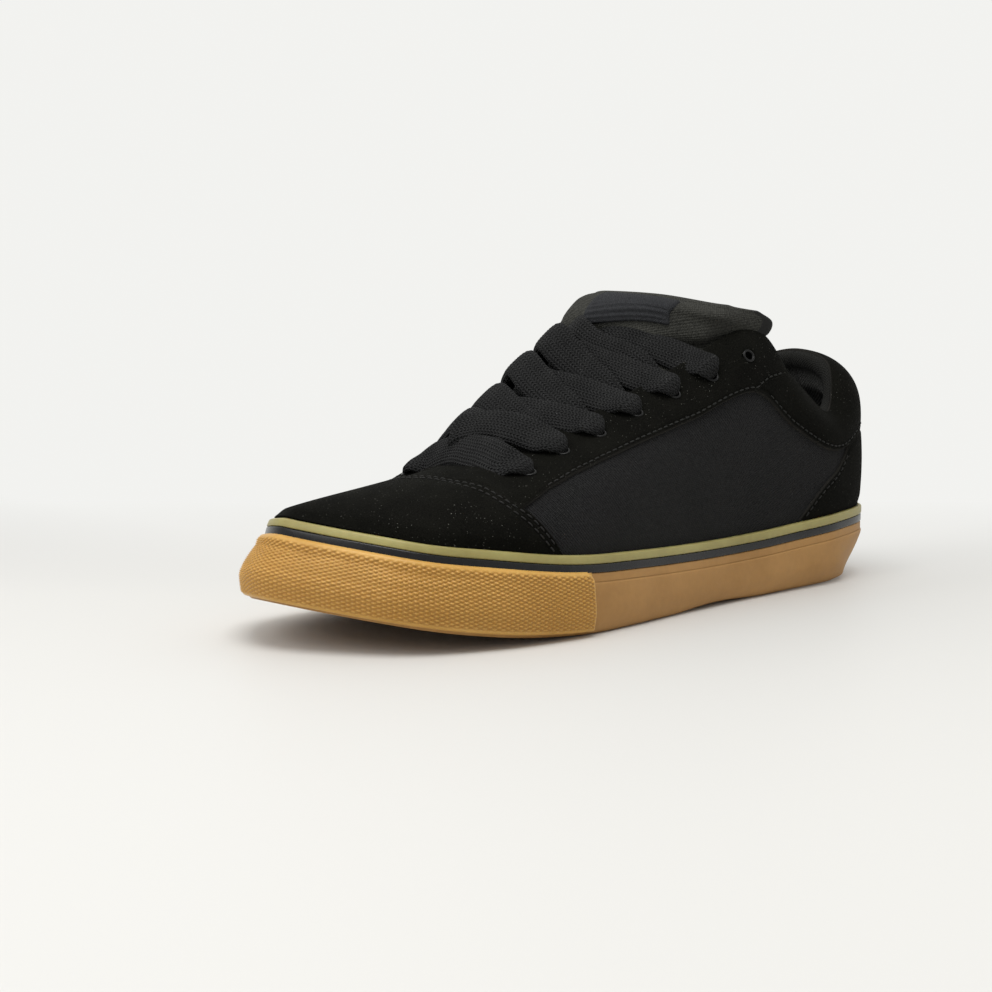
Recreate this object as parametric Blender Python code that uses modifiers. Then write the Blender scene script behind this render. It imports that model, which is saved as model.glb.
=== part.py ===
"""Low lace-up sneaker for the left foot: gum cup sole, dark upper, padded tongue, flat lace.

The tables are in millimetres. +X runs from heel to toe, +Y to the outer side, +Z up.
A place round the shoe is counted in sections: 0 at the heel's back, 10 at the toe, 20 at the
heel again, outer side first.
"""
import bmesh
import bpy
import numpy as np
from mathutils import Matrix, Vector

MM = 0.001
SHOE_NAME = "sneaker"
BOX_MIDDLE = np.array([151.69, 0.05, 0.0])

# Sole
TOE_SPRING = 16.0
SPRING_START = 185.0
SPRING_END = 302.0
ARCH_RISE = 1.2
ARCH_START = 88.0
ARCH_END = 152.0
CUP_HEIGHT = 19.5
STRIP_HEIGHT = 2.8
STRIPE_HEIGHT = 2.8
BAND_HEIGHT = 4.3
TAPE = 2.0
STRIP_RECESS = 0.6
BUMPER_PROUD = 1.2
BUMPER_ENDS = (6.65, 13.45)
INSOLE_HEIGHT = 4.0

# Upper
GAP = 0.3
SEAT = 0.7
WALL = 2.2
PAD = 8.0
OVERLAY = 1.2
SEAM = 0.012
RIM_SHARE = 0.97
FOXING_TOP = CUP_HEIGHT + STRIP_HEIGHT + STRIPE_HEIGHT + BAND_HEIGHT + 3 * GAP
SKIRT = FOXING_TOP - CUP_HEIGHT - GAP

# Lacing
EYELET_HOLE = 2.8
EYELET_BORE = 1.7
EYELET_TUBE = 2.2
EYELET_FLANGE = 3.6
FLANGE_HEIGHT = 0.6
EYELET_LIP = 0.4
EYELET_SIDES = 8
LACE_WIDTH = 14.0
LACE_HEIGHT = 3.2
LACE_REACH = 1.5
LACE_START = 0.66
LACED_PAIRS = 6
TONGUE_CLEAR = 1.2
TONGUE_EDGE = 3.0
TONGUE_FULLNESS = np.array(((0.42, 0.42, 0.78), (0.36, 0.33, 0.8)))

# Sections: sole outline x y, rim x y z, then the side's bulge as two handles,
# low ones out and up from the foxing, high ones out and down from the rim.
SECTIONS = (
    # name, sole_x, sole_y, rim_x, rim_y, rim_z, low_out, low_rise, high_out, high_drop
    ("heel_back", 0, 0, 20, -1, 94.5, 1.5, 30, 19, 2),
    ("heel_outer", 11.7, 27.3, 24, 18, 90, 2, 28, 16, 5),
    ("dip_outer", 41, 39, 43, 31, 73, 3, 18, 6, 9),
    ("corner_outer", 76, 41, 72, 35, 88, 3, 26, 5, 14),
    ("stay_top_outer", 112, 43, 90, 29, 106, 3, 36, 12, 10),
    ("stay_back_outer", 146, 47, 128, 23, 91, 3, 34, 15, 7),
    ("stay_middle_outer", 180, 52, 160, 20, 79, 2, 28, 18, 6),
    ("stay_front_outer", 212, 54, 187, 17, 69, 1, 22, 20, 5),
    ("throat_side_outer", 247, 49.5, 205, 12, 61.5, 0, 13, 22, 4),
    ("throat_corner_outer", 279, 34, 215, 5, 58.5, -1.5, 6, 26, 3),
    ("toe_tip", 302, -8, 218, -3, 58, -1.5, 3, 30, 3),
    ("throat_corner_inner", 283, -41, 215, -11, 58.5, -1.5, 5, 24, 4),
    ("throat_side_inner", 251, -52, 205, -18, 61.5, -1, 11, 20, 6),
    ("stay_front_inner", 215, -53.5, 187, -23, 70, 1, 22, 20, 5),
    ("stay_middle_inner", 180, -47.5, 160, -28.5, 82.5, 2, 30, 13, 7),
    ("stay_back_inner", 146, -39.5, 128, -31.5, 97, 3, 36, 9, 9),
    ("stay_top_inner", 112, -36.5, 90, -33.5, 108.5, 3, 38, 8, 10),
    ("corner_inner", 76, -37, 72, -34, 92, 3, 28, 5, 14),
    ("dip_inner", 41, -37, 43, -31, 79, 3, 20, 6, 9),
    ("heel_inner", 11.7, -26.3, 24, -19, 90.5, 2, 28, 16, 5),
)
SECTION_VALUES = np.array([row[1:] for row in SECTIONS], float)
TURN = len(SECTIONS)
TOE = TURN / 2

# How far the side stands in from the sole outline, along the sole
SIDE_INSETS = np.array((
    # x, at the foot, at the ledge, at the foxing top
    (0, 9, 0.3, 0),
    (40, 4, 0.3, 0.8),
    (112, 2, 0.5, 1.5),
    (212, 1.5, 1, 3),
    (279, 1, 4.5, 7.5),
    (302, 1, 7, 10),
), float)
BELLY_SHARE = 0.45

# The toe cap's edge: where it meets the foxing, its height share over the toe, how square it is
CAP_END = 7.0
CAP_TOP = 0.8
CAP_POWER = 2.2

# Seams as pairs of section and height share, on the outer side; the inner side mirrors them
STAY_SEAM = np.array(((3.04, 1), (3.2, 0.88), (3.5, 0.735), (3.96, 0.575), (4.85, 0.552),
                      (5.86, 0.558), (6.53, 0.545), (6.96, 0.52), (7.35, 0.455), (7.7, 0.3),
                      (10, 0)))
COLLAR_SEAM = np.array(((0, 0.4), (0.8, 0.4), (1.6, 0.49), (2, 0.545), (2.7, 0.565),
                        (3.15, 0.58), (3.96, 0.575)))
COUNTER_SEAM = np.array(((0, 1), (1.66, 0.52), (2.3, 0.26), (2.75, 0)))
EYELETS = np.array(((7.72, 0.665), (7.1, 0.757), (6.46, 0.769), (5.82, 0.785), (5.2, 0.779),
                    (4.66, 0.757), (4.16, 0.772)))

# Tongue rows under the eyestay: how far the wings reach down, which way the thickness points
TONGUE_ROWS = (
    # section, middle_x, middle_z, wing_share, tilt_degrees, thickness
    (8.4, 211, 58.5, 0.9, 65, 5),
    (8, 206, 64, 0.86, 65, 8),
    (7, 187, 78.5, 0.78, 65, 12),
    (6, 161, 94.5, 0.74, 65, 16),
    (5.2, 141, 104, 0.74, 60, 19),
    (4.6, 129.5, 108, 0.78, 50, 20),
)
# Free tongue rows: middle, then shoulder and end of the outer half, then of the inner half
TONGUE_TOP = (
    # middle x z, shoulder x y z, end x y z, shoulder x y z, end x y z, tilt_degrees, thickness
    (124, 110.5, 113, 22, 106, 98, 26, 99, 116, -25, 108, 101, -28, 101, 40, 21),
    (123, 114.5, 113.5, 23.5, 110.5, 96, 26.5, 106.8, 118, -29.5, 113, 103, -31, 109.5, 20, 21),
    (120.5, 118.2, 113, 26.5, 114.5, 94, 34.5, 110.8, 119.5, -34.5, 116.8, 106, -42, 113, 0, 20),
    (117, 120.8, 110, 26, 117.3, 93, 34.5, 113.4, 116.5, -34, 119.7, 104, -43, 115.5, 0, 14),
    (113, 122.2, 106.5, 24, 119, 93, 31.5, 115.2, 112.5, -31, 121.5, 102, -40, 117.4, 0, 6),
)
TONGUE_ROOT = (226, 52.6, 225, 9, 52.2, 222, 18, 51, 225, -9, 52.2, 222, -18, 51, 65, 3)

COLOURS = {
    # name: colour, roughness, metallic
    "outsole": ((0.55, 0.33, 0.15), 0.6, 0),
    "toe_bumper": ((0.6, 0.38, 0.18), 0.6, 0),
    "foxing_strip": ((0.55, 0.33, 0.15), 0.6, 0),
    "foxing_stripe": ((0.02, 0.02, 0.022), 0.4, 0),
    "foxing_band": ((0.36, 0.3, 0.15), 0.5, 0),
    "insole": ((0.03, 0.03, 0.03), 0.9, 0),
    "upper": ((0.02, 0.02, 0.022), 0.9, 0),
    "toe_cap": ((0.015, 0.015, 0.016), 0.95, 0),
    "eyestay": ((0.015, 0.015, 0.016), 0.95, 0),
    "collar": ((0.015, 0.015, 0.016), 0.95, 0),
    "heel_counter": ((0.015, 0.015, 0.016), 0.95, 0),
    "tongue": ((0.02, 0.02, 0.021), 0.9, 0),
    "lace": ((0.025, 0.025, 0.028), 0.85, 0),
    "eyelet": ((0.03, 0.03, 0.03), 0.35, 1),
}


def along_loop(rows, place):
    """Smooth closed curve through the rows, at places counted in rows."""
    place = np.asarray(place, float)
    first = np.floor(place).astype(int)
    t = (place - first)[..., None]
    a, b, c, d = (rows[(first + step) % len(rows)] for step in (-1, 0, 1, 2))
    return b + 0.5 * t * (c - a + t * (2 * a - 5 * b + 4 * c - d + t * (3 * (b - c) + d - a)))


def along_open(points, place):
    """Smooth open curve through points, place 0 at the first point."""
    points = np.concatenate([[2 * points[0] - points[1]], points, [2 * points[-1] - points[-2]]])
    first = np.clip(np.floor(place).astype(int), 0, len(points) - 4)
    t = (place - first)[..., None]
    a, b, c, d = (points[first + step] for step in range(4))
    return b + 0.5 * t * (c - a + t * (2 * a - 5 * b + 4 * c - d + t * (3 * (b - c) + d - a)))


def unit(vectors):
    return vectors / np.linalg.norm(vectors, axis=-1)[..., None]


def outline(section):
    return along_loop(SECTION_VALUES[:, :2], section)


def outward(section):
    step = outline(section + 0.001) - outline(section - 0.001)
    return unit(np.stack([-step[..., 1], step[..., 0]], -1))


def side(section, inset, height):
    """Point on the sole's side, height counted from the sprung underside."""
    xy = outline(section)
    lift = np.clip((xy[..., 0] - SPRING_START) / (SPRING_END - SPRING_START), 0, 1)
    z = TOE_SPRING * lift**2 + height
    xy = xy - outward(section) * np.broadcast_to(inset, z.shape)[..., None]
    return np.concatenate([xy, z[..., None]], -1)


def side_inset(section, height):
    """Inset of the sole's side at a height: foot, belly, ledge, foxing top."""
    x = outline(section)[..., 0]
    foot, ledge, top = (np.interp(x, SIDE_INSETS[:, 0], SIDE_INSETS[:, k]) for k in (1, 2, 3))
    belly = BELLY_SHARE * CUP_HEIGHT
    if height < belly:
        return foot * (1 - height / belly) ** 1.5
    if height < CUP_HEIGHT:
        return ledge * ((height - belly) / (CUP_HEIGHT - belly)) ** 1.5
    return ledge + (top - ledge) * (height - CUP_HEIGHT) / (FOXING_TOP - CUP_HEIGHT)


def upper(section, share):
    """Outer surface of the upper: share 0 at the foxing top, 1 at the rim, -1 at the sole."""
    section, share = np.broadcast_arrays(np.asarray(section, float), np.asarray(share, float))
    row = along_loop(SECTION_VALUES, section)
    out = np.concatenate([outward(section), np.zeros(section.shape + (1,))], -1)
    rise = np.array([0, 0, 1.0])
    foot = side(section, side_inset(section, FOXING_TOP) + TAPE + GAP, FOXING_TOP)
    rim = row[..., 2:5]
    low = foot + out * row[..., 5:6] + rise * row[..., 6:7]
    high = rim + out * row[..., 7:8] - rise * row[..., 8:9]
    t = np.clip(share, 0, None)[..., None]
    curve = (1 - t)**3 * foot + 3 * (1 - t)**2 * t * low + 3 * (1 - t) * t**2 * high + t**3 * rim
    return curve + np.clip(share, None, 0)[..., None] * SKIRT * rise


def off_upper(section, share, distance):
    """Point at a distance outside the upper's surface."""
    step = 0.01
    share = np.asarray(share, float)
    inner_share = np.clip(share, 0, 1 - step)
    round_step = upper(section + step, inner_share) - upper(section - step, inner_share)
    up_step = upper(section, inner_share + step) - upper(section, inner_share)
    normal = unit(np.cross(up_step, round_step))
    return upper(section, share) + normal * np.asarray(distance, float)[..., None]


def ring_places():
    """Places round the shoe, closer where the plan or the rim bends."""
    spans = ((0, 2, 5), (2, 5, 9), (5, 7, 4), (7, 8, 3), (8, TOE, 8))
    half = np.concatenate([np.linspace(a, b, n, endpoint=False) for a, b, n in spans])
    return np.concatenate([half, [TOE], TURN - half[:0:-1]])


def fold(section):
    """Section on the outer side that mirrors the given one."""
    section = np.mod(section, TURN)
    return np.minimum(section, TURN - section)


def seam(table, section):
    return np.interp(fold(section), table[:, 0], table[:, 1])


def cap_seam(section):
    reach = np.clip((TOE - fold(section)) / (TOE - CAP_END), 0, 1)
    return CAP_TOP * (1 - reach**CAP_POWER)


def make_object(name, vertices, faces, finish=None):
    """Object from points in millimetres, with its faces pointing out and its own material."""
    mesh = bpy.data.meshes.new(name)
    mesh.from_pydata([tuple((p - BOX_MIDDLE) * MM) for p in vertices], [], faces)
    shape = bmesh.new()
    shape.from_mesh(mesh)
    bmesh.ops.recalc_face_normals(shape, faces=shape.faces)
    shape.to_mesh(mesh)
    shape.free()
    mesh.shade_smooth()
    mesh.set_sharp_from_angle(angle=np.radians(40))
    part = bpy.data.objects.new(name, mesh)
    parts.objects.link(part)
    part.parent = shoe
    give_material(part, finish or name)
    return part


def give_material(part, finish):
    colour, roughness, metallic = COLOURS[finish]
    material = bpy.data.materials.get(finish) or bpy.data.materials.new(finish)
    material.use_nodes = True
    shader = material.node_tree.nodes["Principled BSDF"]
    shader.inputs["Base Color"].default_value = (*colour, 1)
    shader.inputs["Roughness"].default_value = roughness
    shader.inputs["Metallic"].default_value = metallic
    part.data.materials.append(material)


def grid_faces(rows, columns, wrap_rows=False, wrap_columns=False):
    faces = []
    for i in range(rows if wrap_rows else rows - 1):
        for j in range(columns if wrap_columns else columns - 1):
            k, m = (i + 1) % rows, (j + 1) % columns
            faces.append((i * columns + j, k * columns + j, k * columns + m, i * columns + m))
    return faces


def loft(name, profiles, ring, finish=None):
    """Solid through closed profiles, joined end to end when ring is set, else capped."""
    profiles = np.asarray(profiles)
    rows, columns = profiles.shape[:2]
    faces = grid_faces(rows, columns, ring, True)
    if not ring:
        faces.append(tuple(range(columns)))
        faces.append(tuple(range((rows - 1) * columns, rows * columns)))
    return make_object(name, profiles.reshape(-1, 3), faces, finish)


def plate(name, rings, across):
    """Solid between rings round the shoe, closed below and above by strips across it."""
    count = len(rings[0])
    half = count // 2
    points = [p for ring in rings for p in ring]
    faces = grid_faces(len(rings), count, False, True)
    for base in (0, (len(rings) - 1) * count):
        rows = []
        for i in range(1, half):
            ends = (base + i, base + count - i)
            inside = range(len(points), len(points) + across - 1)
            shares = np.arange(1, across)[:, None] / across
            points.extend(points[ends[0]] * (1 - shares) + points[ends[1]] * shares)
            rows.append([ends[0], *inside, ends[1]])
        for row, after in zip(rows, rows[1:]):
            faces += [(row[j], row[j + 1], after[j + 1], after[j]) for j in range(across)]
        for row, tip in ((rows[0], base), (rows[-1], base + half)):
            faces += [(row[j], row[j + 1], tip) for j in range(across)]
    return make_object(name, points, faces)


def patch(name, sections, low, high, shares):
    """Overlay cut from the upper's surface between two seams, thickened outward."""
    rows = [off_upper(s, low(s) + (high(s) - low(s)) * shares, np.full(len(shares), SEAT))
            for s in sections]
    points = np.concatenate(rows)
    overlay = make_object(name, points, grid_faces(len(sections), len(shares)))
    normal = overlay.data.polygons[0].normal
    outside = off_upper(sections[0], np.array([low(sections[0])]), np.array([9.0]))[0]
    if normal.dot(Vector((outside - points[0]) * MM)) < 0:
        overlay.data.flip_normals()
    thicken = overlay.modifiers.new("thickness", "SOLIDIFY")
    thicken.thickness = OVERLAY * MM
    thicken.offset = 1
    return overlay


def make_sole(places):
    edge = ((0, 2.2), (0.6, 0.8), (2.2, 0.1), (CUP_HEIGHT * BELLY_SHARE, 0), (15, 0),
            (CUP_HEIGHT, 0))
    x = outline(places)[:, 0]
    arch = np.sin(np.pi * np.clip((x - ARCH_START) / (ARCH_END - ARCH_START), 0, 1)) ** 2
    rings = []
    for height, rounding in edge:
        ring = side(places, side_inset(places, height) + rounding, height)
        ring[:, 2] += ARCH_RISE * arch * max(0, 1 - height / 6)
        rings.append(ring)
    plate("outsole", rings, 3)

    inner = side_inset(places, FOXING_TOP) + TAPE
    base = CUP_HEIGHT + GAP
    for name, height, recess in (("foxing_strip", STRIP_HEIGHT, STRIP_RECESS),
                                 ("foxing_stripe", STRIPE_HEIGHT, 0),
                                 ("foxing_band", BAND_HEIGHT, 0)):
        top = base + height
        profile = [side(places, inner, base),
                   side(places, side_inset(places, base) + recess, base),
                   side(places, side_inset(places, top) + recess, top),
                   side(places, inner, top)]
        loft(name, np.stack(profile, 1), True)
        base = top + GAP

    wrap = places[(places > BUMPER_ENDS[0]) & (places < BUMPER_ENDS[1])]
    wrap = np.concatenate([BUMPER_ENDS[:1], wrap, BUMPER_ENDS[1:]])
    top = CUP_HEIGHT + GAP + STRIP_HEIGHT
    levels = (1.8, CUP_HEIGHT * BELLY_SHARE, 15, CUP_HEIGHT, top)
    back = [side(wrap, side_inset(wrap, z) - GAP, z) for z in levels]
    front = [side(wrap, side_inset(wrap, z) - GAP - BUMPER_PROUD, z) for z in levels]
    loft("toe_bumper", np.stack(back + front[::-1], 1), False)

    lining = side_inset(places, FOXING_TOP) + TAPE + GAP + WALL + 0.5
    heights = (CUP_HEIGHT + GAP, CUP_HEIGHT + GAP + INSOLE_HEIGHT)
    plate("insole", [side(places, lining, z) for z in heights], 2)


def wall_thickness(section, share):
    """Canvas and lining, swelling into the padded collar towards the rim."""
    near = np.clip((3.3 - fold(section)) / 0.8, 0, 1)
    high = np.clip((share - 0.4) / 0.35, 0, 1)
    swell = near**2 * (3 - 2 * near) * high**2 * (3 - 2 * high)
    return WALL + (PAD - WALL) * swell


def make_upper(places):
    outer_shares = (-1, 0, 0.08, 0.18, 0.32, 0.48, 0.65, 0.82)
    inner_shares = (0.75, 0.4, 0, -1)
    profile = [upper(places, s) for s in outer_shares]
    # rounded rim: a half circle between the two faces
    for angle in np.radians((0, 60, 120, 180)):
        half = wall_thickness(places, RIM_SHARE) / 2
        share = np.full(len(places), RIM_SHARE)
        centre = off_upper(places, share, -half)
        out = upper(places, RIM_SHARE) - centre
        along = unit(upper(places, 1.0) - upper(places, RIM_SHARE)) * half[:, None]
        profile.append(centre + out * np.cos(angle) + along * np.sin(angle))
    for s in inner_shares:
        share = np.full(len(places), s)
        profile.append(off_upper(places, share, -wall_thickness(places, s)))
    return loft("upper", np.stack(profile, 1), True)


def make_overlays(places):
    rows = np.array((0.0, 0.12, 0.3, 0.5, 0.7, 1.0))
    foot = 0.012

    def cap_low(section):
        return foot

    def cap_high(section):
        return cap_seam(section) - SEAM / 2

    def stay_low(section):
        return max(seam(STAY_SEAM, section), cap_seam(section)) + SEAM / 2

    def stay_high(section):
        return RIM_SHARE

    def collar_low(section):
        return seam(COLLAR_SEAM, section) + SEAM / 2

    def collar_high(section):
        return min(RIM_SHARE, seam(STAY_SEAM, section) - SEAM / 2)

    def counter_high(section):
        return min(seam(COLLAR_SEAM, section), seam(COUNTER_SEAM, section)) - SEAM / 2

    def between(start, end):
        centred = np.mod(places - start, TURN) + start
        inside = np.sort(centred[(centred > start + 0.05) & (centred < end - 0.05)])
        return np.concatenate([[start], inside, [end]])

    patch("toe_cap", between(7.14, 12.86), cap_low, cap_high, rows)
    stay = patch("eyestay", between(3.1, 16.9), stay_low, stay_high, np.linspace(0, 1, 4))
    patch("collar", between(-3.86, 3.86), collar_low, collar_high, np.linspace(0, 1, 5))
    patch("heel_counter", between(-2.68, 2.68), cap_low, counter_high, np.linspace(0, 1, 4))
    return stay


def eyelet_frames():
    """Name, seat point and direction out of the shoe for each eyelet."""
    frames = []
    for label, turn in (("outer", 0), ("inner", TURN)):
        for k, (section, share) in enumerate(EYELETS):
            place = abs(turn - section)
            seat, tip = (off_upper(place, np.array([share]), np.array([d]))[0]
                         for d in (SEAT + OVERLAY, SEAT + OVERLAY + 1))
            frames.append((f"eyelet_{label}_{k + 1}", seat, tip - seat))
    return frames


def make_eyelets(frames, cut_parts):
    """Turned eyelets, and the holes they sit in."""
    depth = SEAT + OVERLAY + WALL + 0.2
    profile = ((EYELET_BORE, FLANGE_HEIGHT + EYELET_LIP), (EYELET_FLANGE, FLANGE_HEIGHT + EYELET_LIP),
               (EYELET_FLANGE, EYELET_LIP), (EYELET_TUBE, EYELET_LIP), (EYELET_TUBE, -depth),
               (EYELET_BORE, -depth))
    mesh = bpy.data.meshes.new("eyelet")
    points = [(radius * MM, 0, z * MM) for radius, z in profile]
    loop = [(k, (k + 1) % len(points)) for k in range(len(points))]
    mesh.from_pydata(points, loop, [])
    drill = bmesh.new()
    for name, seat, direction in frames:
        spin = Vector(direction).to_track_quat("Z", "Y").to_matrix().to_4x4()
        place = Matrix.Translation(Vector((seat - BOX_MIDDLE) * MM)) @ spin
        eyelet = bpy.data.objects.new(name, mesh)
        parts.objects.link(eyelet)
        eyelet.parent = shoe
        eyelet.matrix_local = place
        turned = eyelet.modifiers.new("turn", "SCREW")
        turned.steps = turned.render_steps = EYELET_SIDES
        turned.use_merge_vertices = True
        turned.merge_threshold = 0.00001
        bmesh.ops.create_cone(drill, cap_ends=True, segments=EYELET_SIDES, radius1=EYELET_HOLE * MM,
                              radius2=EYELET_HOLE * MM, depth=14 * MM, matrix=place)
    bpy.data.objects[frames[0][0]].data.materials.clear()
    give_material(bpy.data.objects[frames[0][0]], "eyelet")
    cutter_mesh = bpy.data.meshes.new("eyelet_holes")
    drill.to_mesh(cutter_mesh)
    drill.free()
    cutter = make_cutter("eyelet_holes", cutter_mesh)
    for part in cut_parts:
        part.modifiers.new("flat_faces", "TRIANGULATE")
        cut = part.modifiers.new("holes", "BOOLEAN")
        cut.object = cutter
        cut.operation = "DIFFERENCE"
        cut.solver = "EXACT"


def make_cutter(name, mesh):
    cutter = bpy.data.objects.new(name, mesh)
    cutters.objects.link(cutter)
    cutter.hide_render = True
    cutter.display_type = "WIRE"
    return cutter


def tongue_knots(row):
    """Seven points across the tongue's face, inner end to outer end, for a row under the stay."""
    section, middle_x, middle_z, wing_share = row[:4]
    inside = -(WALL + TONGUE_CLEAR)
    shares = np.array([wing_share, 1.0])
    outer, inner = (off_upper(place, shares, np.full(2, inside)) for place in (section, TURN - section))
    middle = np.array([middle_x, (outer[1, 1] + inner[1, 1]) / 2, middle_z])
    rims = np.array([outer[1], inner[1]])
    shoulders = rims * (1 - TONGUE_FULLNESS) + middle * TONGUE_FULLNESS
    return np.array([*inner, shoulders[1], middle, shoulders[0], *outer[::-1]])


def free_knots(row):
    middle = np.array([row[0], 0, row[1]], float)
    shoulder, end, inner_shoulder, inner_end = np.reshape(row[2:14], (4, 3)).astype(float)
    return np.array([inner_end, (inner_end + inner_shoulder) / 2, inner_shoulder, middle, shoulder,
                     (shoulder + end) / 2, end])


def make_tongue():
    knots = [free_knots(TONGUE_ROOT)]
    knots += [tongue_knots(row) for row in TONGUE_ROWS]
    knots += [free_knots(row) for row in TONGUE_TOP]
    tilt, thickness = np.array([row[-2:] for row in (TONGUE_ROOT, *TONGUE_ROWS, *TONGUE_TOP)]).T
    across = np.linspace(0, 6, 11)
    face = np.array([along_open(k, across) for k in knots])
    # the back lies between the face and the straight line joining the row's two ends
    ends = across[:, None] / 6
    chord = face[:, :1] * (1 - ends) + face[:, -1:] * ends
    depth = np.linalg.norm(face[:, 5] - chord[:, 5], axis=-1)
    sink = np.clip((thickness - TONGUE_EDGE) / depth, 0, 0.9)[:, None, None]
    ahead = np.stack([np.cos(np.radians(tilt)), 0 * tilt, np.sin(np.radians(tilt))], -1)
    back = face * (1 - sink) + chord * sink - ahead[:, None] * TONGUE_EDGE
    loft("tongue", np.concatenate([face, back[:, ::-1]], 1), False)


def tongue_crown(section, across, lift):
    """Point above the tongue's face at a section; across runs -1 to 1 between the rims."""
    rows = np.array([row[:3] for row in TONGUE_ROWS[::-1]], float)
    middle = [np.interp(section, rows[:, 0], rows[:, k]) for k in (1, 2)]
    knots = tongue_knots((section, *middle, 0.8))
    spot, ahead = along_open(knots, 3 + 2 * across + np.array([0, 0.02]))
    slope = np.array([-1, 0, 0.5])
    normal = unit(np.cross(slope, ahead - spot))
    normal *= np.sign(normal[2])
    return spot + normal * lift, normal


def ribbon(path, normals, widths):
    """Closed profiles of a flat lace along a path."""
    tangent = unit(np.gradient(path, axis=0))
    across = unit(np.cross(normals, tangent))
    normal = unit(np.cross(tangent, across))
    h = LACE_HEIGHT / 2
    section = ((1, 0), (0.78, h), (-0.78, h), (-1, 0), (-0.78, -h), (0.78, -h))
    return np.stack([path + across * (x * widths / 2)[:, None] + normal * z for x, z in section], 1)


def lace_spot(section, across, lift, low_side):
    """Point and direction of the lace's middle: over the tongue between the rims, else over the
    eyestay. It stays on the tongue at the low side and climbs over the rim at the other."""
    place = section if across > 0 else TURN - section
    clear = SEAT + OVERLAY + EYELET_LIP + FLANGE_HEIGHT + 1 + LACE_HEIGHT / 2
    reach = abs(across)
    if reach > 1:
        eyelet_share = np.interp(section, EYELETS[::-1, 0], EYELETS[::-1, 1])
        share = 1 - (reach - 1) / (LACE_REACH - 1) * (1 - eyelet_share)
        spot, tip = (off_upper(place, np.array([share]), np.array([clear + d]))[0] for d in (0, 1))
        return spot, tip - spot
    climb = 0 if across * low_side > 0 else np.clip((reach - 0.35) / 0.65, 0, 1)
    climb = climb**2 * (3 - 2 * climb)
    low = lift + LACE_HEIGHT / 2
    return tongue_crown(section, across, low + (clear + WALL + TONGUE_CLEAR - low) * climb)


def lace_run(sections, shares, lift, low_side):
    """Lace between two sections; shares give where it starts and ends across the throat."""
    steps = np.linspace(0, 1, 7)
    spots = [lace_spot(sections[0] * (1 - t) + sections[1] * t, shares[0] * (1 - t) + shares[1] * t,
                       lift, low_side) for t in steps]
    path, normals = (np.array(column) for column in zip(*spots))
    ends = np.abs(shares[0] * (1 - steps) + shares[1] * steps) > LACE_REACH - 0.1
    return ribbon(path, normals, LACE_WIDTH * np.where(ends, 0.6, 1))


def make_lace():
    rows = EYELETS[:LACED_PAIRS, 0]
    lace = loft("lace", lace_run(rows[[0, 0]], (-LACE_REACH, LACE_REACH), 2, 0), False)
    runs = bpy.data.collections.new("lace_runs")
    cutters.children.link(runs)
    for k in range(LACED_PAIRS - 1):
        for low_side, lift in ((1, 1.9), (-1, 3.5)):
            profiles = lace_run(rows[[k, k + 1]], (LACE_START * low_side, -LACE_REACH * low_side), lift,
                                low_side)
            run = loft(f"lace_run_{k}_{low_side}", profiles, False, "lace")
            parts.objects.unlink(run)
            runs.objects.link(run)
            run.parent = None
            run.hide_render = True
            run.display_type = "WIRE"
            run.modifiers.new("flat_faces", "TRIANGULATE")
    lace.modifiers.new("flat_faces", "TRIANGULATE")
    union = lace.modifiers.new("runs", "BOOLEAN")
    union.operand_type = "COLLECTION"
    union.collection = runs
    union.operation = "UNION"
    union.solver = "EXACT"
    union.use_self = True


for old in list(bpy.data.objects):
    bpy.data.objects.remove(old, do_unlink=True)
parts = bpy.data.collections.new(SHOE_NAME)
cutters = bpy.data.collections.new("cutters")
for group in (parts, cutters):
    bpy.context.scene.collection.children.link(group)
shoe = bpy.data.objects.new(f"{SHOE_NAME}_origin", None)
parts.objects.link(shoe)

ring = ring_places()
make_sole(ring)
upper_part = make_upper(ring)
eyestay_part = make_overlays(ring)
make_eyelets(eyelet_frames(), (upper_part, eyestay_part))
make_tongue()
make_lace()
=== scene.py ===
"""Looks of the low lace-up sneaker: fine surfaces, cloth, suede, lace, stitches, gum sole and light.

Lengths are in millimetres. The heel's back is at x = 0, +X runs to the toe, +Y to the outer side.
A place round the shoe is counted in sections: 0 at the heel's back, 10 at the toe, 20 at the heel
again, outer side first. A share is a height on the upper: 0 at the foxing's top, 1 at the rim.
"""

import bpy
import numpy as np
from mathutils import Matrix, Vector


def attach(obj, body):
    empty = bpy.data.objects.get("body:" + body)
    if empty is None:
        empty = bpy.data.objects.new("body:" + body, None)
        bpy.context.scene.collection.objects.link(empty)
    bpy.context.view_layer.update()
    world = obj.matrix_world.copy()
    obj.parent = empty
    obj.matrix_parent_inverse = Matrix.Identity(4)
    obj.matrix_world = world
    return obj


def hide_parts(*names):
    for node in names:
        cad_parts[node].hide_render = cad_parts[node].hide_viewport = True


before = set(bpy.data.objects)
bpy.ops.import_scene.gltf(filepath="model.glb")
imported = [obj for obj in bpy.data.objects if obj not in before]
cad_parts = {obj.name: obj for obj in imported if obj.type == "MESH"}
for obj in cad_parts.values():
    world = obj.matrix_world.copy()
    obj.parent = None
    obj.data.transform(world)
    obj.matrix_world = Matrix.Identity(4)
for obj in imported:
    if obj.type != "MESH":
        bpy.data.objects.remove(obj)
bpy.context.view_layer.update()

MM = 0.001
UP = np.array([0, 0, 1.0])
# The frame's origin, under the middle of the solids
BOX_MIDDLE = np.array([151.69, 0.05, 0.0])

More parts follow.
